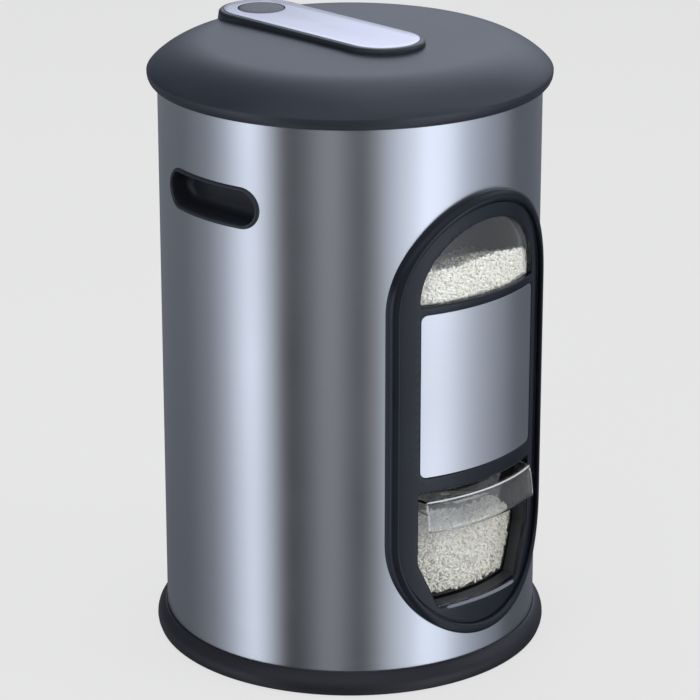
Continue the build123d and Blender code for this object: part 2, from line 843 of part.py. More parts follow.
with BuildPart() as drawer_shutter:
    with BuildSketch(Plane.XY.offset(shutter_low)):
        with Locations((0, (shutter_tail - drawer_back - drawer_wall) / 2)):
            Rectangle(2 * shutter_half_width, shutter_tail + drawer_back + drawer_wall)
    extrude(amount=shutter_wall)
    with BuildSketch(Plane.XY.offset(shutter_low)):
        with Locations((0, -drawer_back)):
            Rectangle(2 * shutter_half_width, drawer_wall, align=(Align.CENTER, Align.MIN))
    extrude(amount=-shutter_flange)
    with BuildSketch(Plane.XY.offset(shutter_low)):
        with Locations(
            (-shutter_half_width + drawer_wall / 2, (shutter_tail - drawer_back) / 2),
            (shutter_half_width - drawer_wall / 2, (shutter_tail - drawer_back) / 2),
        ):
            Rectangle(drawer_wall, shutter_tail + drawer_back)
    extrude(amount=-shutter_skirt)
    with BuildSketch(Plane.XY.offset(drawer_top)):
        with Locations((0, shutter_tail)):
            Rectangle(2 * throat_half_width - 4.0, tab_wall, align=(Align.CENTER, Align.MAX))
    extrude(amount=tab_height)
    with BuildSketch(Plane.XZ.offset(drawer_back)):
        with Locations(
            (-shutter_screw_spread, shutter_low - shutter_screw_drop),
            (shutter_screw_spread, shutter_low - shutter_screw_drop),
        ):
            Circle(small_screw_radius + screw_clearance)
    extrude(amount=-drawer_wall, mode=Mode.SUBTRACT)
finish(drawer_shutter.part, "drawer_shutter")

with BuildPart() as shutter_screws:
    with BuildSketch(Plane.XZ.offset(drawer_back - drawer_wall)):
        with Locations(
            (-shutter_screw_spread, shutter_low - shutter_screw_drop),
            (shutter_screw_spread, shutter_low - shutter_screw_drop),
        ):
            Circle(small_screw_head_radius)
    extrude(amount=-small_screw_head)
    with BuildSketch(Plane.XZ.offset(drawer_back - drawer_wall)):
        with Locations(
            (-shutter_screw_spread, shutter_low - shutter_screw_drop),
            (shutter_screw_spread, shutter_low - shutter_screw_drop),
        ):
            Circle(small_screw_radius)
    extrude(amount=2 * drawer_wall)
finish(shutter_screws.part, "shutter_screws")

# ---- lid: turned dome with a button well, screw bosses and the hinge arm ------------------------
button_hole = button_radius + button_gap
well_radius = button_hole + well_wall
boss_top = crown_height - crown_fall - 0.7 * lid_wall

with BuildPart() as dome:
    with BuildSketch(Plane.XZ):
        with BuildLine():
            lid_side(0)
            ThreePointArc(
                (lid_radius, lid_edge + lid_widest_rise),
                (lid_radius - 1.2, lid_edge + 3.2),
                (lid_edge_radius, lid_edge),
            )
            Polyline((lid_edge_radius, lid_edge), (0, lid_edge), (0, crown_height))
        make_face()
    revolve(axis=Axis.Z)

with BuildPart() as dome_hollow:
    with BuildSketch(Plane.XZ):
        with BuildLine():
            lid_side(lid_wall)
            Polyline(
                (lid_radius - lid_wall, lid_edge + lid_widest_rise),
                (lid_inner_radius, lid_edge + lid_widest_rise - 3.4),
                (lid_inner_radius, lid_edge - 5.0),
                (0, lid_edge - 5.0),
                (0, crown_height - lid_wall),
            )
        make_face()
    revolve(axis=Axis.Z)

with BuildPart() as dome_shell:
    add(dome.part)
    add(dome_hollow.part, mode=Mode.SUBTRACT)

with BuildPart() as hinge_arm:
    with BuildSketch(Plane.YZ):
        with BuildLine():
            Polyline(
                (pivot_back - knuckle_radius, pivot_height),
                (pivot_back - knuckle_radius, lid_edge + 6.0),
                (lid_radius - 8.0, lid_edge + lid_widest_rise + arm_top_rise),
                (lid_radius + arm_stand, lid_edge + lid_widest_rise + arm_back_rise),
                (pivot_back + knuckle_radius - 0.6, pivot_height + 8.0),
                (pivot_back + knuckle_radius, pivot_height),
                close=True,
            )
        make_face()
        with Locations((pivot_back, pivot_height)):
            Circle(knuckle_radius)
    extrude(amount=arm_half_width, both=True)
    add(dome_hollow.part, mode=Mode.SUBTRACT)
    with BuildSketch(Plane.YZ):
        with Locations((pivot_back, pivot_height)):
            Circle(pin_radius + pin_play)
    extrude(amount=arm_half_width, both=True, mode=Mode.SUBTRACT)

with BuildPart() as lid:
    add(dome_shell.part)
    with BuildSketch(Plane.XY.offset(well_floor - well_wall)):
        with Locations((0, button_place)):
            Circle(well_radius)
    extrude(amount=boss_top - well_floor + well_wall)
    with BuildSketch(Plane.XY.offset(disc_high)):
        with PolarLocations(boss_circle, boss_count):
            Circle(boss_radius)
    extrude(amount=boss_top - disc_high)
    add(hinge_arm.part)
    with BuildSketch(Plane.XY.offset(disc_high)):
        with PolarLocations(boss_circle, boss_count):
            Circle(screw_radius)
    extrude(amount=liner_screw_reach + 2.0, mode=Mode.SUBTRACT)
    with BuildSketch(Plane.XY.offset(well_floor)):
        with Locations((0, button_place)):
            Circle(button_hole)
    extrude(amount=overall - well_floor, mode=Mode.SUBTRACT)
    with BuildSketch(Plane.XY.offset(well_floor - well_wall)):
        with Locations((0, button_place)):
            Circle(stem_radius + stem_play)
    extrude(amount=well_wall, mode=Mode.SUBTRACT)
finish(lid.part, "lid")

with BuildPart() as lid_liner:
    with BuildSketch(Plane.XY.offset(disc_low)):
        Circle(liner_disc_radius)
        with PolarLocations(boss_circle, boss_count):
            Circle(screw_radius + screw_clearance, mode=Mode.SUBTRACT)
        with Locations((0, button_place)):
            Circle(valve_hole, mode=Mode.SUBTRACT)
    extrude(amount=liner_disc)
    with BuildSketch(Plane.XY.offset(disc_low)):
        Circle(plug_radius)
        Circle(plug_radius - plug_wall, mode=Mode.SUBTRACT)
    extrude(amount=-seal_thickness - plug_depth)
finish(lid_liner.part, "lid_liner")

with BuildPart() as lid_seal:
    with BuildSketch(Plane.XY.offset(disc_low)):
        Circle(seal_outer)
        Circle(seal_inner, mode=Mode.SUBTRACT)
    extrude(amount=-seal_thickness)
finish(lid_seal.part, "lid_seal")

with BuildPart() as liner_screws:
    with BuildSketch(Plane.XY.offset(disc_low)):
        with PolarLocations(boss_circle, boss_count):
            Circle(screw_head_radius)
    extrude(amount=-screw_head)
    with BuildSketch(Plane.XY.offset(disc_low)):
        with PolarLocations(boss_circle, boss_count):
            Circle(screw_radius)
    extrude(amount=liner_disc + liner_screw_reach)
finish(liner_screws.part, "liner_screws")


# ---- tongue on the lid: black base that fits the dome, bright face set into it ------------------
def tongue_outline(half_width):
    """Straight sides and two round ends, the rear one about the button."""
    with BuildSketch(mode=Mode.PRIVATE) as outline:
        with Locations((0, (button_place - tongue_front) / 2)):
            SlotCenterToCenter(button_place + tongue_front, 2 * half_width, rotation=90)
    return outline.sketch


tongue_skirt = 13.6
tongue_foot_spread = 1.9

with BuildPart() as lid_spine:
    with BuildSketch(Plane.XY.offset(tongue_top - tongue_skirt)):
        add(tongue_outline(tongue_half_width + tongue_foot_spread))
    extrude(amount=tongue_skirt, taper=tongue_draft)
    fillet(lid_spine.edges().group_by(Axis.Z)[-1], radius=tongue_round)
    with BuildSketch(Plane.XY.offset(face_low)):
        add(tongue_outline(face_half_width + face_gap))
    extrude(amount=face_sheet, mode=Mode.SUBTRACT)
    add(dome.part, mode=Mode.SUBTRACT)
    with BuildSketch(Plane.XY.offset(well_floor)):
        with Locations((0, button_place)):
            Circle(button_hole)
    extrude(amount=overall - well_floor, mode=Mode.SUBTRACT)
finish(lid_spine.part, "lid_spine")

with BuildPart() as spine_plate:
    with BuildSketch(Plane.XY.offset(face_low)):
        add(tongue_outline(face_half_width))
        with Locations((0, button_place)):
            Circle(button_hole, mode=Mode.SUBTRACT)
    extrude(amount=face_sheet)
    fillet(spine_plate.faces().sort_by(Axis.Z)[-1].outer_wire().edges(), radius=0.35)
finish(spine_plate.part, "spine_plate")

# ---- vent button, its spring and the valve disc ---------------------------------------------------
button_top = face_top + button_stand
button_skirt_low = well_floor + button_travel + 5.0
cap_under = button_top - button_crown
valve_top = disc_low - slip
stem_low = valve_top - valve_thickness - 1.5

with BuildPart() as vent_button:
    with BuildSketch(Plane.XZ):
        with BuildLine():
            ThreePointArc(
                (0, button_top),
                (button_radius * 0.5, button_top - 0.2),
                (button_radius - 1.2, button_top - 0.8),
            )
            Polyline(
                (button_radius - 1.2, button_top - 0.8),
                (button_radius, button_top - 1.8),
                (button_radius, button_skirt_low),
                (button_radius - button_wall, button_skirt_low),
                (button_radius - button_wall, cap_under),
                (stem_radius, cap_under),
                (stem_radius, valve_top - valve_thickness),
                (stem_radius + 1.7, valve_top - valve_thickness),
                (stem_radius, stem_low),
                (0, stem_low),
                (0, button_top),
            )
        make_face()
    revolve(axis=Axis.Z)
button_part = Pos(0, button_place, 0) * vent_button.part
finish(button_part, "vent_button")

with BuildPart() as vent_valve:
    with BuildSketch(Plane.XY.offset(valve_top)):
        with Locations((0, button_place)):
            Circle(valve_radius)
            Circle(stem_radius, mode=Mode.SUBTRACT)
    extrude(amount=-valve_thickness)
finish(vent_valve.part, "vent_valve")


def half_turn(radius, pitch, low, step):
    """One half turn of the spring: its ends, where its two arcs meet, and the directions there."""
    ends = []
    tangents = []
    for place in (step, step + 1):
        turn = pi * place
        ends.append(Vector(radius * cos(turn), button_place + radius * sin(turn), low + pitch * place / 2))
        tangents.append(Vector(-radius * sin(turn), radius * cos(turn), pitch / (2 * pi)).normalized())
    chord = ends[1] - ends[0]
    lean = tangents[0] + tangents[1]
    square = lean.dot(lean) - 4
    middle = -2 * chord.dot(lean)
    arm = (-middle - sqrt(middle ** 2 - 4 * square * chord.dot(chord))) / (2 * square)
    corners = (ends[0] + tangents[0] * arm, ends[1] - tangents[1] * arm)
    meet = (corners[0] + corners[1]) * 0.5
    return ends, meet, tangents[0], (corners[1] - corners[0]).normalized()


spring_low = well_floor + spring_wire / 2
spring_pitch = (cap_under - well_floor - spring_wire) / spring_turns

with BuildPart() as button_spring:
    with BuildLine() as spring_line:
        for step in range(2 * spring_turns):
            ends, meet, start_way, meet_way = half_turn(spring_radius, spring_pitch, spring_low, step)
            TangentArc(ends[0], meet, tangent=start_way)
            TangentArc(meet, ends[1], tangent=meet_way)
    spring_start = half_turn(spring_radius, spring_pitch, spring_low, 0)
    with BuildSketch(Plane(origin=spring_start[0][0], z_dir=spring_start[2])):
        Circle(spring_wire / 2)
    sweep()
print("gap between the spring's turns", round(spring_pitch - spring_wire, 2))
print("drawer travel", drawer_travel)
finish(button_spring.part, "button_spring")

# ---- rear hinge ------------------------------------------------------------------------------------
ear_inner = arm_half_width + ear_gap
ear_outer = ear_inner + ear_width

with BuildPart() as bracket_plate:
    with BuildSketch(Plane.XZ):
        with Locations((0, (bracket_low + bracket_high) / 2)):
            RectangleRounded(2 * ear_outer + 4.0, bracket_high - bracket_low, 6.0)
    extrude(amount=-reach)
    with BuildSketch():
        Circle(body_radius + bracket_wall)
        Circle(body_radius, mode=Mode.SUBTRACT)
    extrude(amount=overall, mode=Mode.INTERSECT)

with BuildPart() as hinge_bracket:
    add(bracket_plate.part)
    for side in (-1, 1):
        with BuildSketch(Plane.YZ.offset(side * (ear_inner + ear_outer) / 2)):
            with BuildLine():
                Polyline(
                    (pivot_back + knuckle_radius - 1.0, pivot_height - 3.4),
                    (pivot_back - knuckle_radius + 0.5, pivot_height - 0.5),
                    (body_radius - 4.0, bracket_high - 1.0),
                    (body_radius - 4.0, bracket_low + 12.0),
                    close=True,
                )
            make_face()
            with Locations((pivot_back, pivot_height)):
                Circle(knuckle_radius)
        extrude(amount=ear_width / 2, both=True)
    with BuildSketch():
        Circle(body_radius, mode=Mode.ADD)
    extrude(amount=overall, mode=Mode.SUBTRACT)
    with BuildSketch(Plane.YZ):
        with Locations((pivot_back, pivot_height)):
            Circle(pin_radius)
    extrude(amount=reach, both=True, mode=Mode.SUBTRACT)
    for angle, height in hinge_screw_places:
        with BuildSketch(radial_plane(angle, height, body_radius - 1.0)):
            Circle(screw_radius + screw_clearance)
        extrude(amount=bracket_wall + 2.0, mode=Mode.SUBTRACT)
finish(hinge_bracket.part, "hinge_bracket")

with BuildPart() as hinge_pin:
    with BuildSketch(Plane.YZ.offset(-ear_outer)):
        with Locations((pivot_back, pivot_height)):
            Circle(pin_radius)
    extrude(amount=2 * ear_outer)
    for side in (-1, 1):
        with BuildSketch(Plane.YZ.offset(side * ear_outer)):
            with Locations((pivot_back, pivot_height)):
                Circle(pin_radius + pin_head)
        extrude(amount=side * pin_head)
finish(hinge_pin.part, "hinge_pin")

hinge_screw_inner = liner_radius + 1.5
nut_outer = shell_inner - 0.2

with BuildPart() as hinge_screws:
    for angle, height in hinge_screw_places:
        with BuildSketch(radial_plane(angle, height, body_radius + bracket_wall)):
            Circle(screw_head_radius)
        extrude(amount=screw_head)
        with BuildSketch(radial_plane(angle, height, hinge_screw_inner)):
            Circle(screw_radius)
        extrude(amount=body_radius + bracket_wall - hinge_screw_inner)
finish(hinge_screws.part, "hinge_screws")

with BuildPart() as hinge_nuts:
    for angle, height in hinge_screw_places:
        with BuildSketch(radial_plane(angle, height, nut_outer)):
            RegularPolygon(nut_radius, 6)
            Circle(screw_radius, mode=Mode.SUBTRACT)
        extrude(amount=-nut_thickness)
finish(hinge_nuts.part, "hinge_nuts")
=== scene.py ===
import bpy
import bmesh
import math
import random
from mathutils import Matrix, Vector, geometry


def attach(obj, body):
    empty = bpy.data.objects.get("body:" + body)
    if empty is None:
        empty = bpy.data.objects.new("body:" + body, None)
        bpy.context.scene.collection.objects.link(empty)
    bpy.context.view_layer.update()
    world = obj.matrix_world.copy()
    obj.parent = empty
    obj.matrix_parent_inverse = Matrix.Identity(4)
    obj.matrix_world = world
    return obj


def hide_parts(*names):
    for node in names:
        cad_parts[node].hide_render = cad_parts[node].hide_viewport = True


# Rice keeper: brushed drum, black lid with a bright tongue, window, bare label plate and a clear drawer.
# Lengths are millimetres and go to metres when a piece is made. The front faces -Y, the hinge is at +Y.

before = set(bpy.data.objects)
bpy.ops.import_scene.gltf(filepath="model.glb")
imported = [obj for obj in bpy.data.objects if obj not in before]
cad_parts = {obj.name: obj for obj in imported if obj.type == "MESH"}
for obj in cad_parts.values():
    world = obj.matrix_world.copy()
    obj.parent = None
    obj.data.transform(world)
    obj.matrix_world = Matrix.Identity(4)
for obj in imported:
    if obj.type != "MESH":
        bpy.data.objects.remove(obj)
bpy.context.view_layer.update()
toMetres = 0.001
plainSharp = 32
finish = {}
print("frame loaded")


def newPiece(name, shape, finishName, body=None, stands=(), sharp=plainSharp, weld=0.004):
    points, faces = shape
    mesh = bpy.data.meshes.new(name)
    mesh.from_pydata([(x * toMetres, y * toMetres, z * toMetres) for x, y, z in points], [], faces)
    work = bmesh.new()
    work.from_mesh(mesh)
    bmesh.ops.remove_doubles(work, verts=work.verts, dist=weld * toMetres)
    bmesh.ops.dissolve_degenerate(work, edges=work.edges, dist=weld * toMetres * 0.5)
    bmesh.ops.recalc_face_normals(work, faces=work.faces)
    work.to_mesh(mesh)
    work.free()
    mesh.shade_smooth()
    mesh.set_sharp_from_angle(angle=math.radians(sharp))
    piece = bpy.data.objects.new(name, mesh)
    bpy.context.scene.collection.objects.link(piece)
    mesh.materials.append(finish[finishName])
    if body:
        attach(piece, body)
    if stands:
        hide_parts(*stands)
    return piece


def grid(rows, closeAlong=False, closeAcross=False):
    across = len(rows[0])
    count = len(rows)
    points = [point for row in rows for point in row]
    faces = []
    for i in range(count if closeAlong else count - 1):
        for j in range(across if closeAcross else across - 1):
            i2, j2 = (i + 1) % count, (j + 1) % across
            faces.append((i * across + j, i * across + j2, i2 * across + j2, i2 * across + j))
    return points, faces


def together(*shapes):
    points, faces = [], []
    for more, moreFaces in shapes:
        start = len(points)
        points += list(more)
        faces += [tuple(start + i for i in face) for face in moreFaces]
    return points, faces


def evenly(first, last, count):
    return [first + (last - first) * i / count for i in range(count + 1)]


def quarter(steps, first=0):
    return [math.pi / 2 * i / steps for i in range(first, steps + 1)]


def circle(radius, count, centre=(0, 0), way=1):
    turns = [way * 2 * math.pi * i / count for i in range(count)]
    return [(centre[0] + radius * math.cos(a), centre[1] + radius * math.sin(a)) for a in turns]


def turned(profile, segments=192, centre=(0, 0), closed=False):
    rows = [[(x, y, z) for x, y in circle(r, segments, centre)] for r, z in profile]
    return grid(rows, closeAlong=closed, closeAcross=True)


def rounding(cx, cy, r, startAngle, endAngle, steps=6):
    turns = [math.radians(angle) for angle in evenly(startAngle, endAngle, steps)]
    return [(cx + r * math.cos(a), cy + r * math.sin(a)) for a in turns]


def onDrum(x, z, r):
    return x, -math.sqrt(max(r * r - x * x, 0)), z


def atRadius(r):
    return lambda x, z: onDrum(x, z, r)


def sideways(x):
    return lambda r, z: onDrum(x, z, r)


def atHeight(z):
    return lambda x, y: (x, y, z)


def upright(line, heights):
    return grid([[(x, y, z) for x, y in line] for z in heights], closeAcross=True)


def archLine(halfWidth, low, high, lowRise, highRise, arc=56, side=26, foot=22):
    # clockwise from the lower left: up, over the arch, down, and back round or along the foot
    spring, straight = high - highRise, high - highRise - low - lowRise
    line = [(-halfWidth, low + lowRise + straight * i / side) for i in range(side)]
    for a in [math.pi * (1 - i / arc) for i in range(arc)]:
        line.append((halfWidth * math.cos(a), spring + highRise * math.sin(a)))
    line += [(halfWidth, spring - straight * i / side) for i in range(side)]
    if lowRise > 0:
        for a in [-math.pi * i / arc for i in range(arc)]:
            line.append((halfWidth * math.cos(a), low + lowRise + lowRise * math.sin(a)))
    else:
        line += [(x, low) for x in evenly(halfWidth, -halfWidth, foot)[:-1]]
    return line


def roundedLine(corners, radius, grow=0.0, perCorner=6, perEdge=16):
    # corners run clockwise; every edge moves out by grow, then the corners are rounded
    ways, arcs = [], []
    for (ax, ay), (bx, by) in zip(corners, corners[1:] + corners[:1]):
        length = math.hypot(bx - ax, by - ay)
        ways.append(((bx - ax) / length, (by - ay) / length))
    for (x, y), (inX, inY), (outX, outY) in zip(corners, ways[-1:] + ways[:-1], ways):
        facing = inY * outY + inX * outX
        k = grow / (1 + facing)
        turn = math.acos(max(-1, min(1, facing)))
        r = max(radius + grow, 0.05)
        back = r * math.tan(turn / 2)
        cx = x - (inY + outY) * k - inX * back + inY * r
        cy = y + (inX + outX) * k - inY * back - inX * r
        start = math.atan2(inX, -inY)
        steps = [start - turn * s / perCorner for s in range(perCorner + 1)]
        arcs.append([(cx + r * math.cos(a), cy + r * math.sin(a)) for a in steps])
    line = []
    for arc, following in zip(arcs, arcs[1:] + arcs[:1]):
        (ax, ay), (bx, by) = arc[-1], following[0]
        line += arc + [(ax + (bx - ax) * s / perEdge, ay + (by - ay) * s / perEdge)
                       for s in range(1, perEdge)]
    return line


def inside(point, line):
    x, y = point
    hit = False
    for (ax, ay), (bx, by) in zip(line, line[1:] + line[:1]):
        if (ay > y) != (by > y) and x < (bx - ax) * (y - ay) / (by - ay) + ax:
            hit = not hit
    return hit


def filled(outer, holes, step, place):
    # flat sheet between an outline and its holes, laid on a surface by place(u, v)
    points, edges = [], []
    for loop in [outer] + list(holes):
        start = len(points)
        points += [Vector(p) for p in loop]
        edges += [(start + i, start + (i + 1) % len(loop)) for i in range(len(loop))]
    lowU, highU = min(p[0] for p in outer), max(p[0] for p in outer)
    lowV, highV = min(p[1] for p in outer), max(p[1] for p in outer)
    near = {}
    for p in points:
        near.setdefault((round(p[0] / step), round(p[1] / step)), []).append(p)

    def crowded(u, v):
        i, j = round(u / step), round(v / step)
        for a in (i - 1, i, i + 1):
            for b in (j - 1, j, j + 1):
                for p in near.get((a, b), ()):
                    if math.hypot(p[0] - u, p[1] - v) < 0.45 * step:
                        return True
        return False

    def within(u, v):
        return inside((u, v), outer) and not any(inside((u, v), hole) for hole in holes)

    for i in range(1, int((highU - lowU) / step)):
        for j in range(1, int((highV - lowV) / step)):
            u, v = lowU + i * step, lowV + j * step
            if not crowded(u, v) and within(u, v):
                points.append(Vector((u, v)))
    flat, _, triangles, _, _, _ = geometry.delaunay_2d_cdt(points, edges, [], 0, 1e-5)
    kept = []
    for face in triangles:
        if within(sum(flat[i][0] for i in face) / len(face), sum(flat[i][1] for i in face) / len(face)):
            kept.append(tuple(face))
    return [place(p[0], p[1]) for p in flat], kept


def slab(loops, step, places):
    # one outline with its holes laid in two places, and the walls between them
    parts = [filled(loops[0], loops[1:], step, place) for place in places]
    parts += [grid([[place(u, v) for u, v in loop] for place in places], closeAcross=True) for loop in loops]
    return together(*parts)


def cutWith(piece, cutter):
    cut = piece.modifiers.new("cut", "BOOLEAN")
    cut.operation = "DIFFERENCE"
    cut.object = cutter
    cut.solver = "EXACT"
    depsgraph = bpy.context.evaluated_depsgraph_get()
    depsgraph.update()
    done = bpy.data.meshes.new_from_object(piece.evaluated_get(depsgraph))
    piece.modifiers.clear()
    piece.data = done
    done.shade_smooth()
    done.set_sharp_from_angle(angle=math.radians(plainSharp))
    bpy.data.objects.remove(cutter)


def steadyNormals(piece, nearWay=0.94):
    # exact shading on faces that lie along the drum, other faces keep their own
    mesh = piece.data
    normals = []
    for face in mesh.polygons:
        for v in face.vertices:
            spot = mesh.vertices[v].co
            want = Vector((spot.x, spot.y, 0)).normalized()
            facing = want.dot(face.normal)
            normals.append(want if facing > nearWay else -want if facing < -nearWay else face.normal.copy())
    mesh.normals_split_custom_set(normals)


# Finishes. A socket takes another node's output or a plain value.
def feed(tree, sockets, values):
    for name, value in values.items():
        if isinstance(value, bpy.types.NodeSocket):
            tree.links.new(value, sockets[name])
        else:
            sockets[name].default_value = value


def newNode(tree, kind, values=(), **settings):
    node = tree.nodes.new("ShaderNode" + kind)
    for name, value in settings.items():
        setattr(node, name, value)
    feed(tree, node.inputs, dict(values))
    return node


def maths(tree, operation, *values):
    return newNode(tree, "Math", enumerate(values), operation=operation).outputs[0]


def noise(tree, vector, scale, detail=3.0, roughness=0.5):
    values = {"Vector": vector, "Scale": scale, "Detail": detail, "Roughness": roughness}
    return newNode(tree, "TexNoise", values).outputs["Fac"]


def spread(tree, value, low, high, fromLow=0.3, fromHigh=0.7):
    values = {"Value": value, "From Min": fromLow, "From Max": fromHigh, "To Min": low, "To Max": high}
    return newNode(tree, "MapRange", values).outputs["Result"]


def mixed(tree, share, one, other, blend="MIX"):
    values = {"Factor": share, "A": one, "B": other}
    return newNode(tree, "Mix", values, data_type="RGBA", blend_type=blend).outputs["Result"]


def twoTone(tree, share, look):
    return mixed(tree, share, (*look["dark"], 1), (*look["light"], 1))


def relief(tree, height, depth):
    return newNode(tree, "Bump", {"Height": height, "Distance": depth}).outputs["Normal"]


def newFinish(name):
    material = bpy.data.materials.new(name)
    material.use_nodes = True
    tree = material.node_tree
    return material, tree, tree.nodes["Principled BSDF"].inputs, newNode(tree, "TexCoord").outputs["Object"]


def brushedSteel(name, look):
    # hairlines run round the drum, so highlights pull out up and down
    material, tree, shader, place = newFinish(name)
    split = newNode(tree, "SeparateXYZ", {"Vector": place}).outputs
    if look["grain"] == "round":
        along, across = maths(tree, "ARCTAN2", split["X"], split["Y"]), split["Z"]
        tangent = newNode(tree, "Tangent", direction_type="RADIAL", axis="Z").outputs["Tangent"]
        feed(tree, shader, {"Tangent": tangent, "Anisotropic Rotation": 0.25})
    else:
        along, across = split["Y"], split["X"]
    hair = newNode(tree, "CombineXYZ", {"X": along, "Y": across}).outputs["Vector"]
    lines = newNode(tree, "Mapping", {"Vector": hair, "Scale": look["stretch"]}).outputs["Vector"]
    fine = noise(tree, lines, 1.0, detail=4.0, roughness=0.65)
    broad = noise(tree, place, 9.0, detail=2.0)
    rough = spread(tree, broad, look["rough"] - 0.02, look["rough"] + 0.02)
    height = fine
    if look.get("crown"):
        # the plate is a touch crowned along its length
        square = maths(tree, "POWER", split["Y"], 2.0)
        height = maths(tree, "MULTIPLY_ADD", square, -look["crown"] / look["depth"], fine)
    feed(tree, shader, {
        "Metallic": 1.0,
        "Base Color": twoTone(tree, fine, look),
        "Roughness": maths(tree, "MULTIPLY_ADD", fine, look["roughSpread"], rough),
        "Anisotropic": look["pull"],
        "Normal": relief(tree, height, look["depth"]),
    })
    return material


def mouldedPlastic(name, look):
    look = dict(plainLook, **look)
    material, tree, shader, place = newFinish(name)
    grain = noise(tree, place, look["grain"], detail=4.0, roughness=0.6)
    broad = noise(tree, place, 14.0)
    feed(tree, shader, {
        "Base Color": twoTone(tree, spread(tree, broad, 0, 1), look),
        "Roughness": maths(tree, "MULTIPLY_ADD", broad, 0.08, look["rough"] - 0.04),
        "Specular IOR Level": look["shine"],
        "Normal": relief(tree, grain, look["depth"]),
    })
    return material


def clearPlastic(name, look):
    material, tree, shader, place = newFinish(name)
    haze = noise(tree, place, 60.0)
    feed(tree, shader, {
        "Transmission Weight": look["clear"],
        "IOR": 1.49,
        "Base Color": twoTone(tree, haze, look),
        "Roughness": spread(tree, haze, look["rough"], look["rough"] + 0.03),
        "Normal": relief(tree, noise(tree, place, 22.0, detail=2.0), 0.00015),
    })
    return material


def grainOfRice(name, look):
    material, tree, shader, place = newFinish(name)
    patches = noise(tree, place, 420.0, detail=2.0)
    feed(tree, shader, {
        "Base Color": twoTone(tree, spread(tree, patches, 0, 1), look),
        "Roughness": spread(tree, patches, 0.35, 0.55),
        "Subsurface Weight": 0.25,
        "Subsurface Radius": (0.0015, 0.0012, 0.0008),
        "Subsurface Scale": 1.0,
        "Normal": relief(tree, noise(tree, place, 1500.0, detail=2.0), 0.00005),
    })
    return material


steelLook = {"grain": "round", "roughSpread": 0.05, "depth": 0.00001}
plainLook = {"grain": 2200.0, "depth": 0.00002, "shine": 0.5}
drumLook = dict(steelLook, stretch=(3.0, 1500.0, 1.0), dark=(0.565, 0.58, 0.60), light=(0.645, 0.66, 0.68),
                rough=0.22, pull=0.8, depth=0.000003)
steelLooks = {
    "drumSteel": drumLook,
    "labelSteel": dict(drumLook, dark=(0.60, 0.610, 0.625), light=(0.69, 0.70, 0.715), rough=0.3, pull=0.6),
    "faceSteel": dict(steelLook, grain="straight", stretch=(9.0, 1800.0, 1.0), dark=(0.66, 0.65, 0.72),
                      light=(0.80, 0.79, 0.86), rough=0.27, roughSpread=0.06, pull=0.3, crown=0.42),
    "zincSteel": dict(steelLook, stretch=(30.0, 900.0, 1.0), dark=(0.5, 0.5, 0.52), light=(0.66, 0.66, 0.68),
                      rough=0.3, pull=0.0),
}
plasticLooks = {
    "lidPlastic": {"grain": 2400.0, "dark": (0.013, 0.016, 0.024), "light": (0.018, 0.022, 0.031),
                   "rough": 0.37},
    "tonguePlastic": {"grain": 2400.0, "dark": (0.008, 0.010, 0.013), "light": (0.011, 0.013, 0.017),
                      "rough": 0.3, "depth": 0.000015},
    "bezelPlastic": {"dark": (0.006, 0.008, 0.013), "light": (0.009, 0.012, 0.018), "rough": 0.2,
                     "depth": 0.000008, "shine": 0.32},
    "basePlastic": {"dark": (0.009, 0.010, 0.013), "light": (0.013, 0.014, 0.018), "rough": 0.42,
                    "shine": 0.4},
    # far paler than the bezel: painted highlight for the bead below the mouth
    "sillPlastic": {"dark": (0.16, 0.175, 0.205), "light": (0.19, 0.205, 0.235), "rough": 0.3,
                    "depth": 0.00001},
    "gripPlastic": {"dark": (0.013, 0.015, 0.020), "light": (0.018, 0.021, 0.027), "rough": 0.36,
                    "shine": 0.4},
    "buttonPlastic": {"grain": 2600.0, "dark": (0.055, 0.062, 0.072), "light": (0.07, 0.078, 0.088),
                      "rough": 0.5, "depth": 0.00003},
    # far darker than the pale liner plastic: painted shade inside the hopper, seen through the window
    "innerPlastic": {"grain": 1500.0, "dark": (0.15, 0.155, 0.165), "light": (0.19, 0.195, 0.205),
                     "rough": 0.45},
    "housingPlastic": {"grain": 1500.0, "dark": (0.02, 0.021, 0.024), "light": (0.028, 0.03, 0.033),
                       "rough": 0.5},
    "padRubber": {"grain": 3000.0, "dark": (0.012, 0.012, 0.012), "light": (0.02, 0.02, 0.02), "rough": 0.75,
                  "depth": 0.00004},
    "sealRubber": {"grain": 2600.0, "dark": (0.55, 0.55, 0.53), "light": (0.63, 0.63, 0.61), "rough": 0.6},
}
clearLooks = {
    "clearTray": {"dark": (0.95, 0.965, 0.98), "light": (0.975, 0.985, 0.995), "rough": 0.02, "clear": 1.0},
    # paler and hazier than the clear tray: painted highlight for the lip's edges
    "frostEdge": {"dark": (0.90, 0.92, 0.94), "light": (0.95, 0.96, 0.98), "rough": 0.3, "clear": 0.35},
}
riceLooks = {
    "ricePale": {"dark": (0.80, 0.77, 0.66), "light": (0.93, 0.91, 0.84)},
    # a darker copy of the rice colour for the drawer: painted shade under the lip and inside the tray
    "riceShaded": {"dark": (0.66, 0.63, 0.54), "light": (0.78, 0.76, 0.69)},
}
for make, looks in ((brushedSteel, steelLooks), (mouldedPlastic, plasticLooks), (clearPlastic, clearLooks),
                    (grainOfRice, riceLooks)):
    for name, look in looks.items():
        finish[name] = make(name, look)
print("finishes made")

# CAD nodes that stay as they are get their finish here
keptNodes = {
    "basePlastic": ("bottom_plate", "top_collar", "hinge_bracket"),
    "padRubber": ("foot_pads",),
    "zincSteel": ("base_screws", "housing_screws", "bezel_screws", "hinge_pin", "hinge_screws", "hinge_nuts",
                  "shutter_screws", "liner_screws", "button_spring"),
    # the hopper and lid liner take the darkened inner colour, painted shade
    "innerPlastic": ("hopper", "lid_liner"),
    "housingPlastic": ("drawer_housing", "drawer_shutter"),
    "sealRubber": ("window_gasket", "lid_seal", "vent_valve"),
}
for name, nodeNames in keptNodes.items():
    for nodeName in nodeNames:
        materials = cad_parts[nodeName].data.materials
        materials.clear()
        materials.append(finish[name])

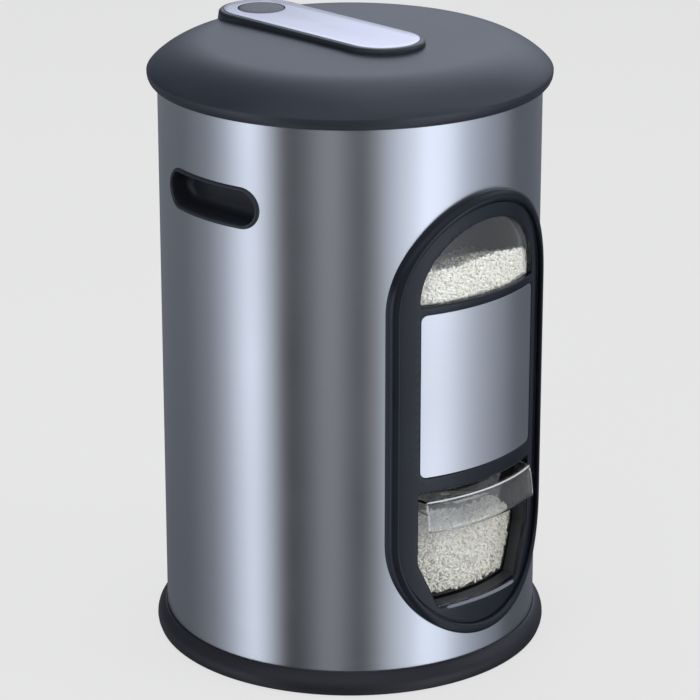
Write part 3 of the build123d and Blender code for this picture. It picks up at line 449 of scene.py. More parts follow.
# Base ring: a rounded foot, a side that leans in, a lip round the drum and a spigot inside it
ring = {
    "bore": 111.5, "low": 1.0, "shelf": 4.0, "lip": 135.35, "seat": 8.1, "spigot": (133.9, 131.5),
    "spigotTop": 24.0,
    "side": [(142.0, 4.2), (142.3, 6.0), (142.15, 8.2), (141.5, 10.6), (140.3, 12.9), (138.6, 15.0),
             (137.4, 16.2)],
}
spigotOut, spigotIn = ring["spigot"]
ringProfile = [(ring["bore"], ring["shelf"]), (ring["bore"], ring["low"]), (139.0, ring["low"])]
ringProfile += rounding(140.0, 2.2, 1.2, -90, -20, 4) + ring["side"] + rounding(136.0, 15.9, 1.1, 60, 150, 4)
ringProfile += [(ring["lip"], 15.2), (ring["lip"], ring["seat"]), (spigotOut, ring["seat"]),
                (spigotOut, ring["spigotTop"]), (spigotIn, ring["spigotTop"]), (spigotIn, ring["shelf"])]
newPiece("baseRing", turned(ringProfile, 256, closed=True), "basePlastic", "base", ["base_ring"])

# Drum: one flat sheet with its holes, rolled up twice, with the edges joined
drum = {"radius": 135.0, "wall": 0.8, "low": 8.2, "high": 412.0, "step": 7.0, "rimCount": 240}
bezel = {"half": 74.3, "low": 33.5, "high": 359.0, "rise": 79.0, "side": 5.8, "end": 9.0, "back": 135.06,
         "field": 138.2, "holeSide": 6.1, "holeEnd": 9.2}
grip = {
    "high": 350.5, "length": 91.0, "width": 29.5, "depth": 22.0, "floorWall": 2.0, "drumHole": 1.8,
    # (shorter and narrower than the slot, out from the drum), then how the pocket runs into its floor
    "rim": [(0.0, 0.05), (0.3, 0.7), (1.2, 1.36), (2.6, 1.6), (4.4, 1.44), (5.6, 0.72), (6.0, -0.1),
            (6.2, -4.0)],
    "back": [(2.4, -1.0), (2.4, 0.05)],
    "pocket": 6.4, "pocketRound": 10.0, "shell": 2.4, "shellRound": 14.0, "floor": 24.0, "fillet": 5.0,
}


def slotLine(length, width, count=20, side=14):
    line = []
    straight = length / 2 - width / 2
    for end in (1, -1):
        for a in [math.pi / 2 - math.pi * i / count for i in range(count)]:
            line.append((end * (straight + width / 2 * math.cos(a)), end * width / 2 * math.sin(a)))
        line += [(end * straight * (1 - 2 * i / side), -end * width / 2) for i in range(side)]
    return line


def unrolled(line, angle, middle):
    # (sideways, height) outline to (arc length, height) on the flat drum sheet, angle from the front
    r = drum["radius"]
    return [(r * (angle + math.asin(u / r)), v + middle) for u, v in line]


def rolled(radius):
    def place(s, z):
        a = s / drum["radius"]
        return radius * math.sin(a), -radius * math.cos(a), z
    return place


drumPlaces = [rolled(drum["radius"]), rolled(drum["radius"] - drum["wall"])]
half = math.pi * drum["radius"]
upCount = int((drum["high"] - drum["low"]) / drum["step"])
sheetEdge = [(-half, z) for z in evenly(drum["low"], drum["high"], upCount)[:-1]]
sheetEdge += [(s, drum["high"]) for s in evenly(-half, half, drum["rimCount"])[:-1]]
sheetEdge += [(half, z) for z in evenly(drum["high"], drum["low"], upCount)[:-1]]
sheetEdge += [(s, drum["low"]) for s in evenly(half, -half, drum["rimCount"])[:-1]]
holeRise = bezel["rise"] - bezel["holeEnd"]
bezelHole = archLine(bezel["half"] - bezel["holeSide"], bezel["low"] + bezel["holeEnd"],
                     bezel["high"] - bezel["holeEnd"], holeRise, holeRise)
gripHole = slotLine(grip["length"] - grip["drumHole"], grip["width"] - grip["drumHole"])
drumHoles = [unrolled(bezelHole, 0, 0)]
drumHoles += [unrolled(gripHole, side * math.pi / 2, grip["high"]) for side in (-1, 1)]
drumParts = [filled(sheetEdge, drumHoles, drum["step"], place) for place in drumPlaces]
for hole in drumHoles:
    drumParts.append(grid([[place(s, z) for s, z in hole] for place in drumPlaces], closeAcross=True))
for z in (drum["low"], drum["high"]):
    drumParts.append(grid([[place(s, z) for s in evenly(-half, half, drum["rimCount"])]
                           for place in drumPlaces]))
steadyNormals(newPiece("drumShell", together(*drumParts), "drumSteel", "base", ["outer_shell"]))
print("drum made")

# Front bezel: a raised oval rim round a field with the window, the label's seat and the drawer's mouth
panel = {"half": 54.5, "windowLow": 285.0, "windowHigh": 339.0, "windowSide": 2.0, "windowEdge": 1.0,
         "labelLow": 160.0, "labelHigh": 279.3, "labelEdge": 0.5, "labelSeat": 137.0, "seatIn": -3.0,
         "corner": 5.0}
mouth = {"high": 148.5, "shoulder": 95.5, "low": 61.0, "foot": 39.3, "corner": 2.2, "edge": 1.8,
         "collar": [(2.4, 135.0), (2.4, 133.7), (0.1, 133.7), (0.1, 135.0)]}
# the rim's section: (share of the way in from the outline, radius)
rim = {"foot": 137.6, "crest": 0.62, "outer": 137.9, "outerRise": 3.8, "fall": 0.30, "inner": 138.9,
       "innerRise": 2.8,
       "groove": [(0.93, 137.6), (1.0, 137.5), (1.03, 137.7), (1.05, 138.2)]}


def bezelLine(share):
    side, end = bezel["side"] * share, bezel["end"] * share
    rise = bezel["rise"] - end
    return archLine(bezel["half"] - side, bezel["low"] + end, bezel["high"] - end, rise, rise)


def windowLine(grow):
    low, high = panel["windowLow"] - grow, panel["windowHigh"] + grow
    return archLine(panel["half"] + grow, low, high, 0, high - low - panel["windowSide"], side=3)


def labelLine(grow):
    h, low, high = panel["half"], panel["labelLow"], panel["labelHigh"]
    return roundedLine([(-h, low), (-h, high), (h, high), (h, low)], panel["corner"], grow)


def mouthLine(grow):
    h, foot = panel["half"], mouth["foot"]
    corners = [(-foot, mouth["low"]), (-h, mouth["shoulder"]), (-h, mouth["high"]), (h, mouth["high"]),
               (h, mouth["shoulder"]), (foot, mouth["low"])]
    return roundedLine(corners, mouth["corner"], grow, perEdge=18)


def lipRows(lineAt, steps, closed=False):
    rows = [[onDrum(x, z, r) for x, z in lineAt(grow)] for grow, r in steps]
    return grid(rows, closeAlong=closed, closeAcross=True)


def softEdge(size, steps):
    # a rounded edge from the field down into a hole
    return [(size - size * math.sin(a), bezel["field"] - size + size * math.cos(a)) for a in quarter(steps)]


back, seat, seatIn = bezel["back"], panel["labelSeat"], panel["seatIn"]
rimSteps = [(0.0, back), (0.0, rim["foot"])]
for a in quarter(9, 1):
    rimSteps.append((rim["crest"] - rim["crest"] * math.cos(a),
                     rim["outer"] + rim["outerRise"] * math.sin(a)))
for a in quarter(6, 1):
    rimSteps.append((rim["crest"] + rim["fall"] * math.sin(a), rim["inner"] + rim["innerRise"] * math.cos(a)))
rimSteps += rim["groove"]
fieldHoles = [windowLine(panel["windowEdge"]), labelLine(panel["labelEdge"]), mouthLine(mouth["edge"])]
bezelParts = [
    lipRows(bezelLine, rimSteps),
    filled(bezelLine(rim["groove"][-1][0]), fieldHoles, 3.2, atRadius(bezel["field"])),
    filled(bezelLine(0.0), [windowLine(0.0), mouthLine(0.0)], 5.0, atRadius(back)),
    lipRows(windowLine, softEdge(panel["windowEdge"], 5) + [(0.0, back)]),
    lipRows(mouthLine, softEdge(mouth["edge"], 6) + [(0.0, back)]),
    lipRows(labelLine, softEdge(panel["labelEdge"], 3) + [(0.0, seat), (seatIn, seat)]),
    filled(labelLine(seatIn), [], 5.0, atRadius(seat)),
]
newPiece("frontBezel", together(*bezelParts), "bezelPlastic", "base", ["front_bezel"],
         sharp=40)
newPiece("mouthCollar", lipRows(mouthLine, mouth["collar"], True), "bezelPlastic", "base")

# Label plate, bare: (inwards from the seat's outline, radius) from its back to its front
plateSteps = [(-0.4, 137.02), (-0.4, 137.55), (-0.48, 137.72), (-0.62, 137.8)]
(plateOut, plateBack), (plateIn, plateFront) = plateSteps[0], plateSteps[-1]
plateParts = [
    lipRows(labelLine, plateSteps),
    filled(labelLine(plateIn), [], 4.0, atRadius(plateFront)),
    filled(labelLine(plateOut), [], 6.0, atRadius(plateBack)),
]
steadyNormals(newPiece("labelPlate", together(*plateParts), "labelSteel", "base", ["label_plate"]))

# Window pane: its edge laps under the bezel, its rim reaches back to the hopper
pane = {"front": 134.98, "back": 133.0, "lap": 3.8, "rim": 1.4, "rimDeep": 126.0, "step": 5.0}
paneFront, paneBack = pane["front"], pane["back"]
paneLap, paneRim, rimDeep = pane["lap"], pane["rim"], pane["rimDeep"]
paneParts = [
    filled(windowLine(paneLap), [], pane["step"], atRadius(paneFront)),
    filled(windowLine(0.0), [], pane["step"], atRadius(paneBack)),
    filled(windowLine(paneLap), [windowLine(paneRim)], pane["step"], atRadius(paneBack)),
    lipRows(windowLine, [(paneLap, paneFront), (paneLap, paneBack)]),
    lipRows(windowLine, [(paneRim, paneBack), (paneRim, rimDeep), (0.0, rimDeep), (0.0, paneBack)]),
]
newPiece("windowPane", together(*paneParts), "clearTray", "base", ["window_pane"])
print("front made")


def beadShape(points, radius, sides=8, endShare=0.35):
    # a fine round bead along a line of points, closed at both ends
    rows = []
    last = len(points) - 1
    for i, spot in enumerate(points):
        way = (Vector(points[min(i + 1, last)]) - Vector(points[max(i - 1, 0)])).normalized()
        sideA = way.cross(Vector((0, 0, 1)) if abs(way.z) < 0.9 else Vector((0, 1, 0))).normalized()
        sideB = way.cross(sideA)
        wide = radius * (endShare if i in (0, last) else 1.0)
        turns = [2 * math.pi * k / sides for k in range(sides)]
        rows.append([tuple(Vector(spot) + (sideA * math.cos(a) + sideB * math.sin(a)) * wide) for a in turns])
    points, faces = grid(rows, closeAcross=True)
    faces.append(tuple(range(sides)))
    faces.append(tuple(last * sides + k for k in reversed(range(sides))))
    return points, faces


# a bead on the bezel below the mouth, far paler than the bezel: painted highlight where the lower edge catches
# the light
sill = {"half": 33.5, "high": 59.8, "radius": 1.25, "reach": 138.1}
sillLine = [onDrum(x, sill["high"], sill["reach"]) for x in evenly(-sill["half"], sill["half"], 30)]
newPiece("sillEdge", beadShape(sillLine, sill["radius"], 12), "sillPlastic", "base",
         sharp=60)


# Hand grips: a raised rim on the drum round a pocket with rounded ends
def gripShape(side):
    def row(cut, reach, followDrum=False):
        line = []
        for u, v in slotLine(grip["length"] - cut, grip["width"] - cut):
            x = math.sqrt(reach * reach - u * u) if followDrum else reach
            line.append((side * x, side * u, grip["high"] + v))
        return line

    floor, fillet = drum["radius"] - grip["depth"], grip["fillet"]
    deep = floor - grip["floorWall"]
    front = [row(cut, drum["radius"] + out, True) for cut, out in grip["rim"]]
    for a in quarter(6):
        cut = grip["pocket"] + grip["pocketRound"] * (1 - math.cos(a))
        front.append(row(cut, floor + fillet - fillet * math.sin(a)))
    front.append(row(grip["floor"], floor))
    behind = [row(grip["floor"], deep)]
    for a in reversed(quarter(5)):
        cut = grip["shell"] + grip["shellRound"] * (1 - math.cos(a))
        behind.append(row(cut, floor + fillet - (fillet + grip["floorWall"]) * math.sin(a)))
    behind += [row(cut, drum["radius"] + out, True) for cut, out in grip["back"]]
    floorLine = slotLine(grip["length"] - grip["floor"], grip["width"] - grip["floor"])
    floors = [filled(floorLine, [], 6.0, lambda u, v, at=at: (side * at, side * u, grip["high"] + v))
              for at in (floor, deep)]
    return together(grid(behind + front, closeAcross=True), *floors)


for sideName, side in (("Left", -1), ("Right", 1)):
    newPiece("grip" + sideName, gripShape(side), "gripPlastic", "base", ["grip_" + sideName.lower()],
             sharp=40)

# Lid: a low dome with a rounded edge, and a well for the button
lid = {
    "crown": 441.0, "fall": 1.0, "crownRadius": 100.0, "radius": 142.3, "widest": 419.6, "wall": 2.6,
    "edge": 411.5, "shoulder": 24.0, "shoulderFall": 0.6, "rise": 2.4,
    # (radius, up from the lower edge), from the widest part round the lip to the inside
    "lip": [(142.25, 6.1), (141.9, 4.2), (141.1, 2.4), (139.9, 0.9), (138.6, 0.15), (137.4, 0), (136.9, 0.02),
            (136.5, 0.4), (136.4, 1.1), (136.4, 4.7)],
}
button = {
    "place": 92.0, "radius": 16.7, "gap": 0.5, "top": 446.2, "wellFloor": 429.0, "wellWall": 2.0,
    "wellTop": 438.0, "stemHole": 2.6,
    # (radius, down from the top): crowned cap, skirt, stem and the barb below the valve
    "section": [(0, 0), (4, 0.02), (8, 0.12), (12, 0.38), (14.6, 0.65), (15.6, 0.85), (16.3, 1.25),
                (16.7, 1.9), (16.7, 9.1), (15.2, 9.1), (15.2, 3.2), (2.5, 3.2), (2.5, 30.8), (4.1, 31.0),
                (2.5, 32.35), (0, 32.35)],
}
buttonCentre = (0, button["place"])


def domeLine(inset, steps=26):
    crown, reach = lid["crown"] - inset, lid["crownRadius"]
    line = [(reach * i / 10, crown - lid["fall"] * (i / 10) ** 2) for i in range(11)]
    p0 = Vector((reach, crown - lid["fall"]))
    p1 = Vector((reach + lid["shoulder"] - inset / 2, crown - lid["fall"] - lid["shoulderFall"]))
    p2 = Vector((lid["radius"] - inset, lid["widest"] + lid["rise"] - inset / 2))
    p3 = Vector((lid["radius"] - inset, lid["widest"]))
    for i in range(1, steps + 1):
        t = i / steps
        p = (1 - t) ** 3 * p0 + 3 * t * (1 - t) ** 2 * p1 + 3 * t * t * (1 - t) * p2 + t ** 3 * p3
        line.append((p[0], p[1]))
    return line


def domeHeight(r):
    line = domeLine(0.0, 40)
    for (a, za), (b, zb) in zip(line, line[1:]):
        if a <= r <= b:
            return za + (zb - za) * (r - a) / (b - a)
    return lid["widest"]


lipLine = [(r, lid["edge"] + up) for r, up in lid["lip"]]
lidProfile = domeLine(0.0) + lipLine + list(reversed(domeLine(lid["wall"])))
lidPiece = newPiece("lidDome", turned(lidProfile, 256), "lidPlastic", "lid", ["lid"], sharp=44)
holeRadius = button["radius"] + button["gap"]
cutterSection = [(0, 425), (holeRadius, 425), (holeRadius, 450), (0, 450)]
cutWith(lidPiece, newPiece("wellCutter", turned(cutterSection, 96, buttonCentre), "lidPlastic"))
wellRadius = holeRadius + button["wellWall"]
wellTop, wellFoot = button["wellTop"], button["wellFloor"] - button["wellWall"]
wellSection = [(holeRadius, wellTop), (holeRadius, button["wellFloor"]),
               (button["stemHole"], button["wellFloor"]),
               (button["stemHole"], wellFoot), (wellRadius, wellFoot), (wellRadius, wellTop - 0.6)]
newPiece("buttonWell", turned(wellSection, 96, buttonCentre, closed=True), "lidPlastic", "lid",
         sharp=40)

# the arm that carries the lid's knuckle, as a side view of (back, height)
hinge = {"back": 140.5, "high": 405.5, "knuckle": 4.5, "bore": 2.05, "half": 17.4,
         "arm": [(136.5, 409.0), (136.6, 414.0), (139.0, 417.0), (139.2, 421.0), (140.0, 422.1),
                 (142.5, 421.9), (143.7, 420.9), (144.4, 413.5)]}
armLoop = hinge["arm"] + rounding(hinge["back"], hinge["high"], hinge["knuckle"], 20, -220, 16)
boreLoop = circle(hinge["bore"], 24, (hinge["back"], hinge["high"]))
armPlaces = [lambda y, z, x=x: (x, y, z) for x in (-hinge["half"], hinge["half"])]
newPiece("lidHingeArm", slab([armLoop, boreLoop], 4.0, armPlaces), "lidPlastic", "lid")

# Tongue on the lid and its bright face, both with the button's hole
tongue = {"half": 30.5, "front": -31.0, "back": button["place"], "top": 444.8, "draft": 0.1405, "crest": 2.5,
          "sunk": 0.4}
face = {"half": 27.0, "low": 444.0, "top": 445.2, "gap": 0.2, "edge": 0.4}


def tongueLine(halfWidth, perEnd=60, perSide=30):
    # clockwise from the back on the left: forward, round the front, back on the right, round the button
    front, back = tongue["front"], tongue["back"]
    line = [(-halfWidth, y) for y in evenly(back, front, perSide)[:-1]]
    for a in [math.pi + math.pi * i / perEnd for i in range(perEnd)]:
        line.append((halfWidth * math.cos(a), front + halfWidth * math.sin(a)))
    line += [(halfWidth, y) for y in evenly(front, back, perSide)[:-1]]
    for a in [math.pi * i / perEnd for i in range(perEnd)]:
        line.append((halfWidth * math.cos(a), back + halfWidth * math.sin(a)))
    return line


def tongueFoot():
    # where the drafted side meets the dome, sunk a little into it
    foot = []
    grown = {}
    for i in range(len(tongueLine(tongue["half"]))):
        grow = 0.6
        for _ in range(3):
            if grow not in grown:
                grown[grow] = tongueLine(tongue["half"] + grow)
            x, y = grown[grow][i]
            z = domeHeight(math.hypot(x, y)) - tongue["sunk"]
            grow = round((tongue["top"] - z) * tongue["draft"], 2)
        foot.append((x, y, z))
    return foot


holeLine = circle(holeRadius, 96, buttonCentre, way=-1)
crest, lean = tongue["crest"], tongue["crest"] * tongue["draft"]
topRound = [(-lean + (crest + lean) * (1 - math.cos(a)), tongue["top"] - crest + crest * math.sin(a))
            for a in quarter(8)]
recessLine = tongueLine(face["half"] + face["gap"])
tongueRows = [[(x, y, z) for x, y in tongueLine(tongue["half"] - inset)] for inset, z in topRound]
tongueParts = [
    grid([tongueFoot()] + tongueRows, closeAcross=True),
    filled(tongueLine(tongue["half"] - topRound[-1][0]), [recessLine], 4.0, atHeight(tongue["top"])),
    upright(recessLine, (tongue["top"], face["low"])),
    filled(recessLine, [holeLine], 6.0, atHeight(face["low"])),
    upright(holeLine, (face["low"], wellTop)),
]
newPiece("tongueBody", together(*tongueParts), "tonguePlastic", "lid", ["lid_spine"],
         sharp=44)
faceLow, faceTop, faceEdge = face["low"] + 0.02, face["top"], face["edge"]
faceSteps = [(0.0, faceLow), (0.0, faceTop - faceEdge), (0.12, faceTop - 0.12), (faceEdge, faceTop)]
faceParts = [
    grid([[(x, y, z) for x, y in tongueLine(face["half"] - inset)] for inset, z in faceSteps],
         closeAcross=True),
    filled(tongueLine(face["half"] - faceEdge), [holeLine], 5.0, atHeight(faceTop)),
    filled(tongueLine(face["half"]), [holeLine], 5.0, atHeight(faceLow)),
    upright(holeLine, (faceTop, faceLow)),
]
newPiece("tongueFace", together(*faceParts), "faceSteel", "lid", ["spine_plate"], sharp=50)

buttonProfile = [(r, button["top"] - down) for r, down in button["section"]]
newPiece("ventButton", turned(buttonProfile, 96, buttonCentre), "buttonPlastic", "button", ["vent_button"],
         sharp=40)
print("lid made")

# Drawer: a clear tray that follows the mouth and the drum, with a pull lip that folds down in front
tray = {"top": 143.5, "gap": 1.0, "floorGap": 0.3, "wall": 2.0, "front": 125.0, "back": -20.0, "footIn": 0.72,
        "shoulderUp": 0.4}
pull = {"half": 51.5, "edge": 141.5, "flare": 3.5, "drop": 22.5, "wall": 1.8, "fold": 2.2, "sunk": 0.9,
        "cheekDrop": 10.0}


def trayHalf(inset):
    return panel["half"] - tray["gap"] - inset


def trayLine(inset):
    # down the left side, under the floor and up the right side: an open U
    h, foot = trayHalf(inset), mouth["foot"] - tray["gap"] / 2 - inset * tray["footIn"]
    low, shoulder = mouth["low"] + tray["floorGap"] + inset, mouth["shoulder"] + tray["shoulderUp"] * inset
    corners = [(-h, tray["top"]), (-h, shoulder), (-foot, low), (foot, low), (h, shoulder), (h, tray["top"])]
    line = []
    for (ax, az), (bx, bz), count in zip(corners, corners[1:], (8, 8, 24, 8, 8)):
        line += [(ax + (bx - ax) * i / count, az + (bz - az) * i / count) for i in range(count)]
    return line + corners[-1:]


def trayShape():
    parts, edges = [], []
    for inset in (0.0, tray["wall"]):
        line, front, back, h = trayLine(inset), tray["front"] - inset, tray["back"] - inset, trayHalf(inset)
        rows = [[(x, back + (onDrum(x, z, front)[1] - back) * s / 6, z) for x, z in line] for s in range(7)]
        parts += [grid(rows), filled(line, [], 3.4, atRadius(front)),
                  filled(line, [], 8.0, lambda x, z, y=back: (x, y, z))]
        edge = [onDrum(x, tray["top"], front) for x in evenly(-h, h, 32)]
        edges.append(edge + [(h, back, tray["top"]), (-h, back, tray["top"])])
    return together(*parts, grid(edges, closeAcross=True))


def lipShape():
    # shelf, rounded front edge and flared flange in section (radius, height), bent round the drum's axis
    e, f, d, w, fold = (pull[key] for key in ("edge", "flare", "drop", "wall", "fold"))
    front, top, slope = tray["front"], tray["top"], f / d
    profile = [(front - pull["sunk"], top)] + [(r, top) for r in evenly(front, e - fold, 3)]
    for a in [math.radians(angle) for angle in (12, 24, 36, 48, 60, 72)]:
        profile.append((e - fold + fold * math.sin(a), top - fold + fold * math.cos(a)))
    profile += [(e + slope * t, top - t) for t in (3.2, 7, 11, 15, 18.5, d - 1.4)]
    profile += [(e + f - 0.15, top - d + 0.9), (e + f - 0.9, top - d + 0.25),
                (e + f - w + 0.1, top - d + 0.9)]
    profile += [(e + slope * t - w * 1.02, top - t) for t in (d - 1.4, 18.5, 15, 11, 7, 3.8)]
    profile += [(e - w - 0.1, top - 2.6), (e - w - 0.8, top - w - 0.1)]
    profile += [(r, top - w) for r in reversed(evenly(front, e - w - 1.6, 3))]
    profile += [(front - pull["sunk"], top - w)]
    across = evenly(-pull["half"], pull["half"], 44)
    wall = grid([[onDrum(x, z, r) for x in across] for r, z in profile], closeAlong=True)
    ends = [filled(profile, [], 40.0, sideways(x)) for x in (across[0], across[-1])]
    return together(wall, *ends)


def cheekShape(side):
    # small gusset that closes the lip's end towards the tray
    front, e, f, top = tray["front"], pull["edge"], pull["flare"], tray["top"]
    line = [(front - pull["sunk"], top - 2.0), (e - 2.0, top - 2.0),
            (e + f * 0.5 - 1.9, top - pull["cheekDrop"]),
            (front + 5, top - 8.6), (front - pull["sunk"], top - 5.6)]
    sides = (side * (pull["half"] - 0.05), side * (pull["half"] - pull["wall"]))
    return slab([line], 40.0, [sideways(x) for x in sides])


def lipEdges():
    # pale, hazy beads on the fold and both ends of the flange: painted highlight where the moulded clear
    # plastic catches the light
    e, f, d, top, half = pull["edge"], pull["flare"], pull["drop"], tray["top"], pull["half"]
    beads = [beadShape([onDrum(x, top - 0.75, e - 0.75) for x in evenly(-half, half, 40)], 0.62)]
    for side in (-1, 1):
        end = [onDrum(side * (half - 0.45), top - t, e + f / d * t - 0.8)
               for t in (2, 6, 10, 14, 18, d - 1.6)]
        beads.append(beadShape(end, 0.5))
    return together(*beads)


# beads in a pale hazy finish: painted highlight on the lip's edges
newPiece("lipEdge", lipEdges(), "frostEdge", "drawer", sharp=60)
newPiece("drawerTray", trayShape(), "clearTray", "drawer", ["drawer_tray"], sharp=36)
newPiece("drawerLip", lipShape(), "clearTray", "drawer", sharp=40)
for sideName, side in (("Left", -1), ("Right", 1)):
    newPiece("lipCheek" + sideName, cheekShape(side), "clearTray", "drawer",
             sharp=36)
print("drawer made")

# Rice: loose grains on a solid mass a little below them, in the hopper and in the drawer
rice = {"length": 5.0, "thick": 2.0, "seed": 41, "massDown": 2.2, "grainDown": 0.8,
        "taper": ((-0.36, 0.62), (-0.1, 1.0), (0.16, 0.98), (0.38, 0.55))}
hopperHeap = {"skinShare": 0.62, "half": 53.5, "skin": 131.7, "skinDeep": 2.2, "archHigh": 52.0,
              "reach": 122.5,
              "wallRadius": 131.0, "crest": 25.5, "least": 3.4, "massHalf": 53, "massRadius": 130.3,
              "massBack": -62}
drawerHeap = {"skinShare": 0.6, "sideShare": 0.78, "skinDeep": 1.9, "reach": 121, "low": 3.6,
              "wallRadius": 122.0, "crestDown": 13.0, "massRadius": 121.1, "massBack": -24.5, "massLow": 3.4}


def grainShape(chance, spot, flatWay=None):
    # one grain: a tapered round body of few faces, turned any way
    length, thick = rice["length"] * chance.uniform(0.75, 1.1), rice["thick"] * chance.uniform(0.8, 1.1)
    way = Vector((chance.gauss(0, 1), chance.gauss(0, 1), chance.gauss(0, 0.6)))
    if flatWay is not None:
        way -= flatWay * way.dot(flatWay) * 0.85
    way.normalize()
    sideA = way.orthogonal().normalized()
    sideB = way.cross(sideA)
    points = [spot - way * length / 2]
    for along, wide in rice["taper"]:
        for a in [math.pi * i / 3 for i in range(6)]:
            aside = (sideA * math.cos(a) + sideB * math.sin(a)) * thick / 2 * wide
            points.append(spot + way * length * along + aside)
    points.append(spot + way * length / 2)
    faces = [(0, 1 + (i + 1) % 6, 1 + i) for i in range(6)]
    for start in (1, 7, 13):
        faces += [(start + i, start + (i + 1) % 6, start + 6 + (i + 1) % 6, start + 6 + i) for i in range(6)]
    faces += [(19 + i, 19 + (i + 1) % 6, 25) for i in range(6)]
    return [tuple(p) for p in points], faces


def heapGrains(count, pick, seed):
    chance = random.Random(seed)
    shapes = []
    for _ in range(count):
        spot, flatWay = pick(chance)
        if spot is not None:
            shapes.append(grainShape(chance, Vector(spot), flatWay))
    return together(*shapes)


def behindWall(x, y, r):
    # how far a spot lies behind the wall of radius r
    return max(0.0, y + math.sqrt(max(0.0, r * r - x * x)))


def archOver(x, base, halfWidth):
    # the window's arch above a spot, which keeps the heap below it
    return panel["windowLow"] + base + hopperHeap["archHigh"] * math.sqrt(max(0.0, 1 - (x / halfWidth) ** 2))


def hopperTop(x, y):
    # the heap is highest a little left of the middle and falls away from the window
    away = min(behindWall(x, y, hopperHeap["wallRadius"]), 60.0)
    waves = 1.3 * math.sin(x / 13 + 0.6) + 0.8 * math.sin(y / 9)
    return panel["windowLow"] + max(hopperHeap["least"],
                                    hopperHeap["crest"] - 0.0016 * (x + 8) ** 2 - 0.36 * away + waves)


def drawerTop(x, y):
    # high on the left and middle, falling away to the right and to the back
    fall, away = max(0.0, x - 20) / 30, min(behindWall(x, y, drawerHeap["wallRadius"]), 40.0)
    return (tray["top"] - drawerHeap["crestDown"] - 0.07 * (x + 50) - 19.0 * fall ** 1.6 - 0.3 * away
            + 1.2 * math.sin(x / 9) + 0.8 * math.sin(y / 8))


def pickHopper(chance):
    low = panel["windowLow"]
    if chance.random() < hopperHeap["skinShare"]:
        # against the pane
        x = chance.uniform(-hopperHeap["half"], hopperHeap["half"])
        r = hopperHeap["skin"] - chance.uniform(0, hopperHeap["skinDeep"])
        y = -math.sqrt(r * r - x * x)
        top = hopperTop(x, y)
        z = chance.uniform(low + 0.5, max(low + 1.5, top))
        if z > min(top, archOver(x, 2, 53.0) - 1.5):
            return None, None
        return (x, y, z), Vector((x, y, 0)).normalized()
    x, y = chance.uniform(-62, 62), chance.uniform(-122, -60)
    if math.hypot(x, y) > hopperHeap["reach"]:
        return None, None
    return (x, y, hopperTop(x, y) - rice["grainDown"]), None


def pickDrawer(chance):
    h, foot = trayHalf(tray["wall"]) - 1.0, mouth["foot"] - 3.4
    low, reach = mouth["low"] + drawerHeap["low"], drawerHeap["reach"]

    def widthAt(z):
        if z > mouth["shoulder"]:
            return h
        return foot + (h - foot) * (z - mouth["low"] - 3) / (mouth["shoulder"] - mouth["low"] - 3)

    share = chance.random()
    if share < drawerHeap["skinShare"]:
        # against the front
        x = chance.uniform(-h, h)
        r = tray["front"] - tray["wall"] - 0.9 - chance.uniform(0, drawerHeap["skinDeep"])
        y = -math.sqrt(r * r - x * x)
        z = chance.uniform(low, drawerTop(x, y))
        if abs(x) > widthAt(z):
            return None, None
        return (x, y, z), Vector((x, y, 0)).normalized()
    if share < drawerHeap["sideShare"]:
        # along the side walls
        y, z = chance.uniform(-112, -60), chance.uniform(low, 137)
        side = chance.choice((-1, 1))
        x = side * (widthAt(z) - chance.uniform(0, 1.5))
        if z > drawerTop(x, y) or x * x + y * y > reach ** 2:
            return None, None
        return (x, y, z), Vector((1, 0, 0))
    x, y = chance.uniform(-h, h), chance.uniform(-121, -26)
    if math.hypot(x, y) > reach:
        return None, None
    return (x, y, drawerTop(x, y) - rice["grainDown"]), None


def massShape(spotAt, depth, levels, columns=40):
    # a closed block of points, spotAt(across, back, up)
    layers = [[[spotAt(i, j, k) for i in range(columns + 1)] for j in range(depth + 1)]
              for k in range(levels + 1)]
    parts = [grid(layers[0]), grid(layers[-1])]
    for k in (0, -1):
        parts.append(grid([layer[k] for layer in layers]))
        parts.append(grid([[row[k] for row in layer] for layer in layers]))
    return together(*parts)


def hopperMass():
    half, low = hopperHeap["massHalf"], panel["windowLow"] - 0.2

    def spotAt(i, j, k):
        x = -half + 2 * half * i / 40
        front = -math.sqrt(hopperHeap["massRadius"] ** 2 - x * x)
        y = front + (hopperHeap["massBack"] - front) * j / 16
        top = hopperTop(x, y) - rice["massDown"]
        if y < -115:
            top = min(top, archOver(x, 0.5, 53.6) - 2)
        return x, y, top if k else low

    return massShape(spotAt, 16, 1)


def drawerMass():
    h, foot = trayHalf(tray["wall"]) - 2.4, mouth["foot"] - 4.0
    low = mouth["low"] + drawerHeap["massLow"]

    def spotAt(i, j, k):
        share = i / 40 * 2 - 1
        x = share * h
        front = -math.sqrt(drawerHeap["massRadius"] ** 2 - x * x)
        y = front + (drawerHeap["massBack"] - front) * j / 18
        top = drawerTop(x, y) - rice["massDown"]
        z = low + (top - low) * k / 12
        limit = foot + (h - foot) * max(0.0, min(1.0, (z - low) / (mouth["shoulder"] - low)))
        return share * limit, y, z

    return massShape(spotAt, 18, 12)


newPiece("riceInHopper", hopperMass(), "ricePale", "base", sharp=60)
# the drawer's rice mass takes the darker copy of the rice colour, painted shade
newPiece("riceInDrawer", drawerMass(), "riceShaded", "drawer", sharp=60)
grainCount = 3600
hopperGrains = heapGrains(grainCount, pickHopper, rice["seed"])
newPiece("grainsInHopper", hopperGrains, "ricePale", "base", sharp=180, weld=0.0001)
drawerGrains = heapGrains(int(grainCount * 1.3), pickDrawer, rice["seed"] + 1)
# the drawer's grains take the darker copy of the rice colour, painted shade
newPiece("grainsInDrawer", drawerGrains, "riceShaded", "drawer", sharp=180, weld=0.0001)
print("rice poured")

for name in ("windowPane", "drawerTray"):
    bpy.data.objects[name].visible_shadow = False

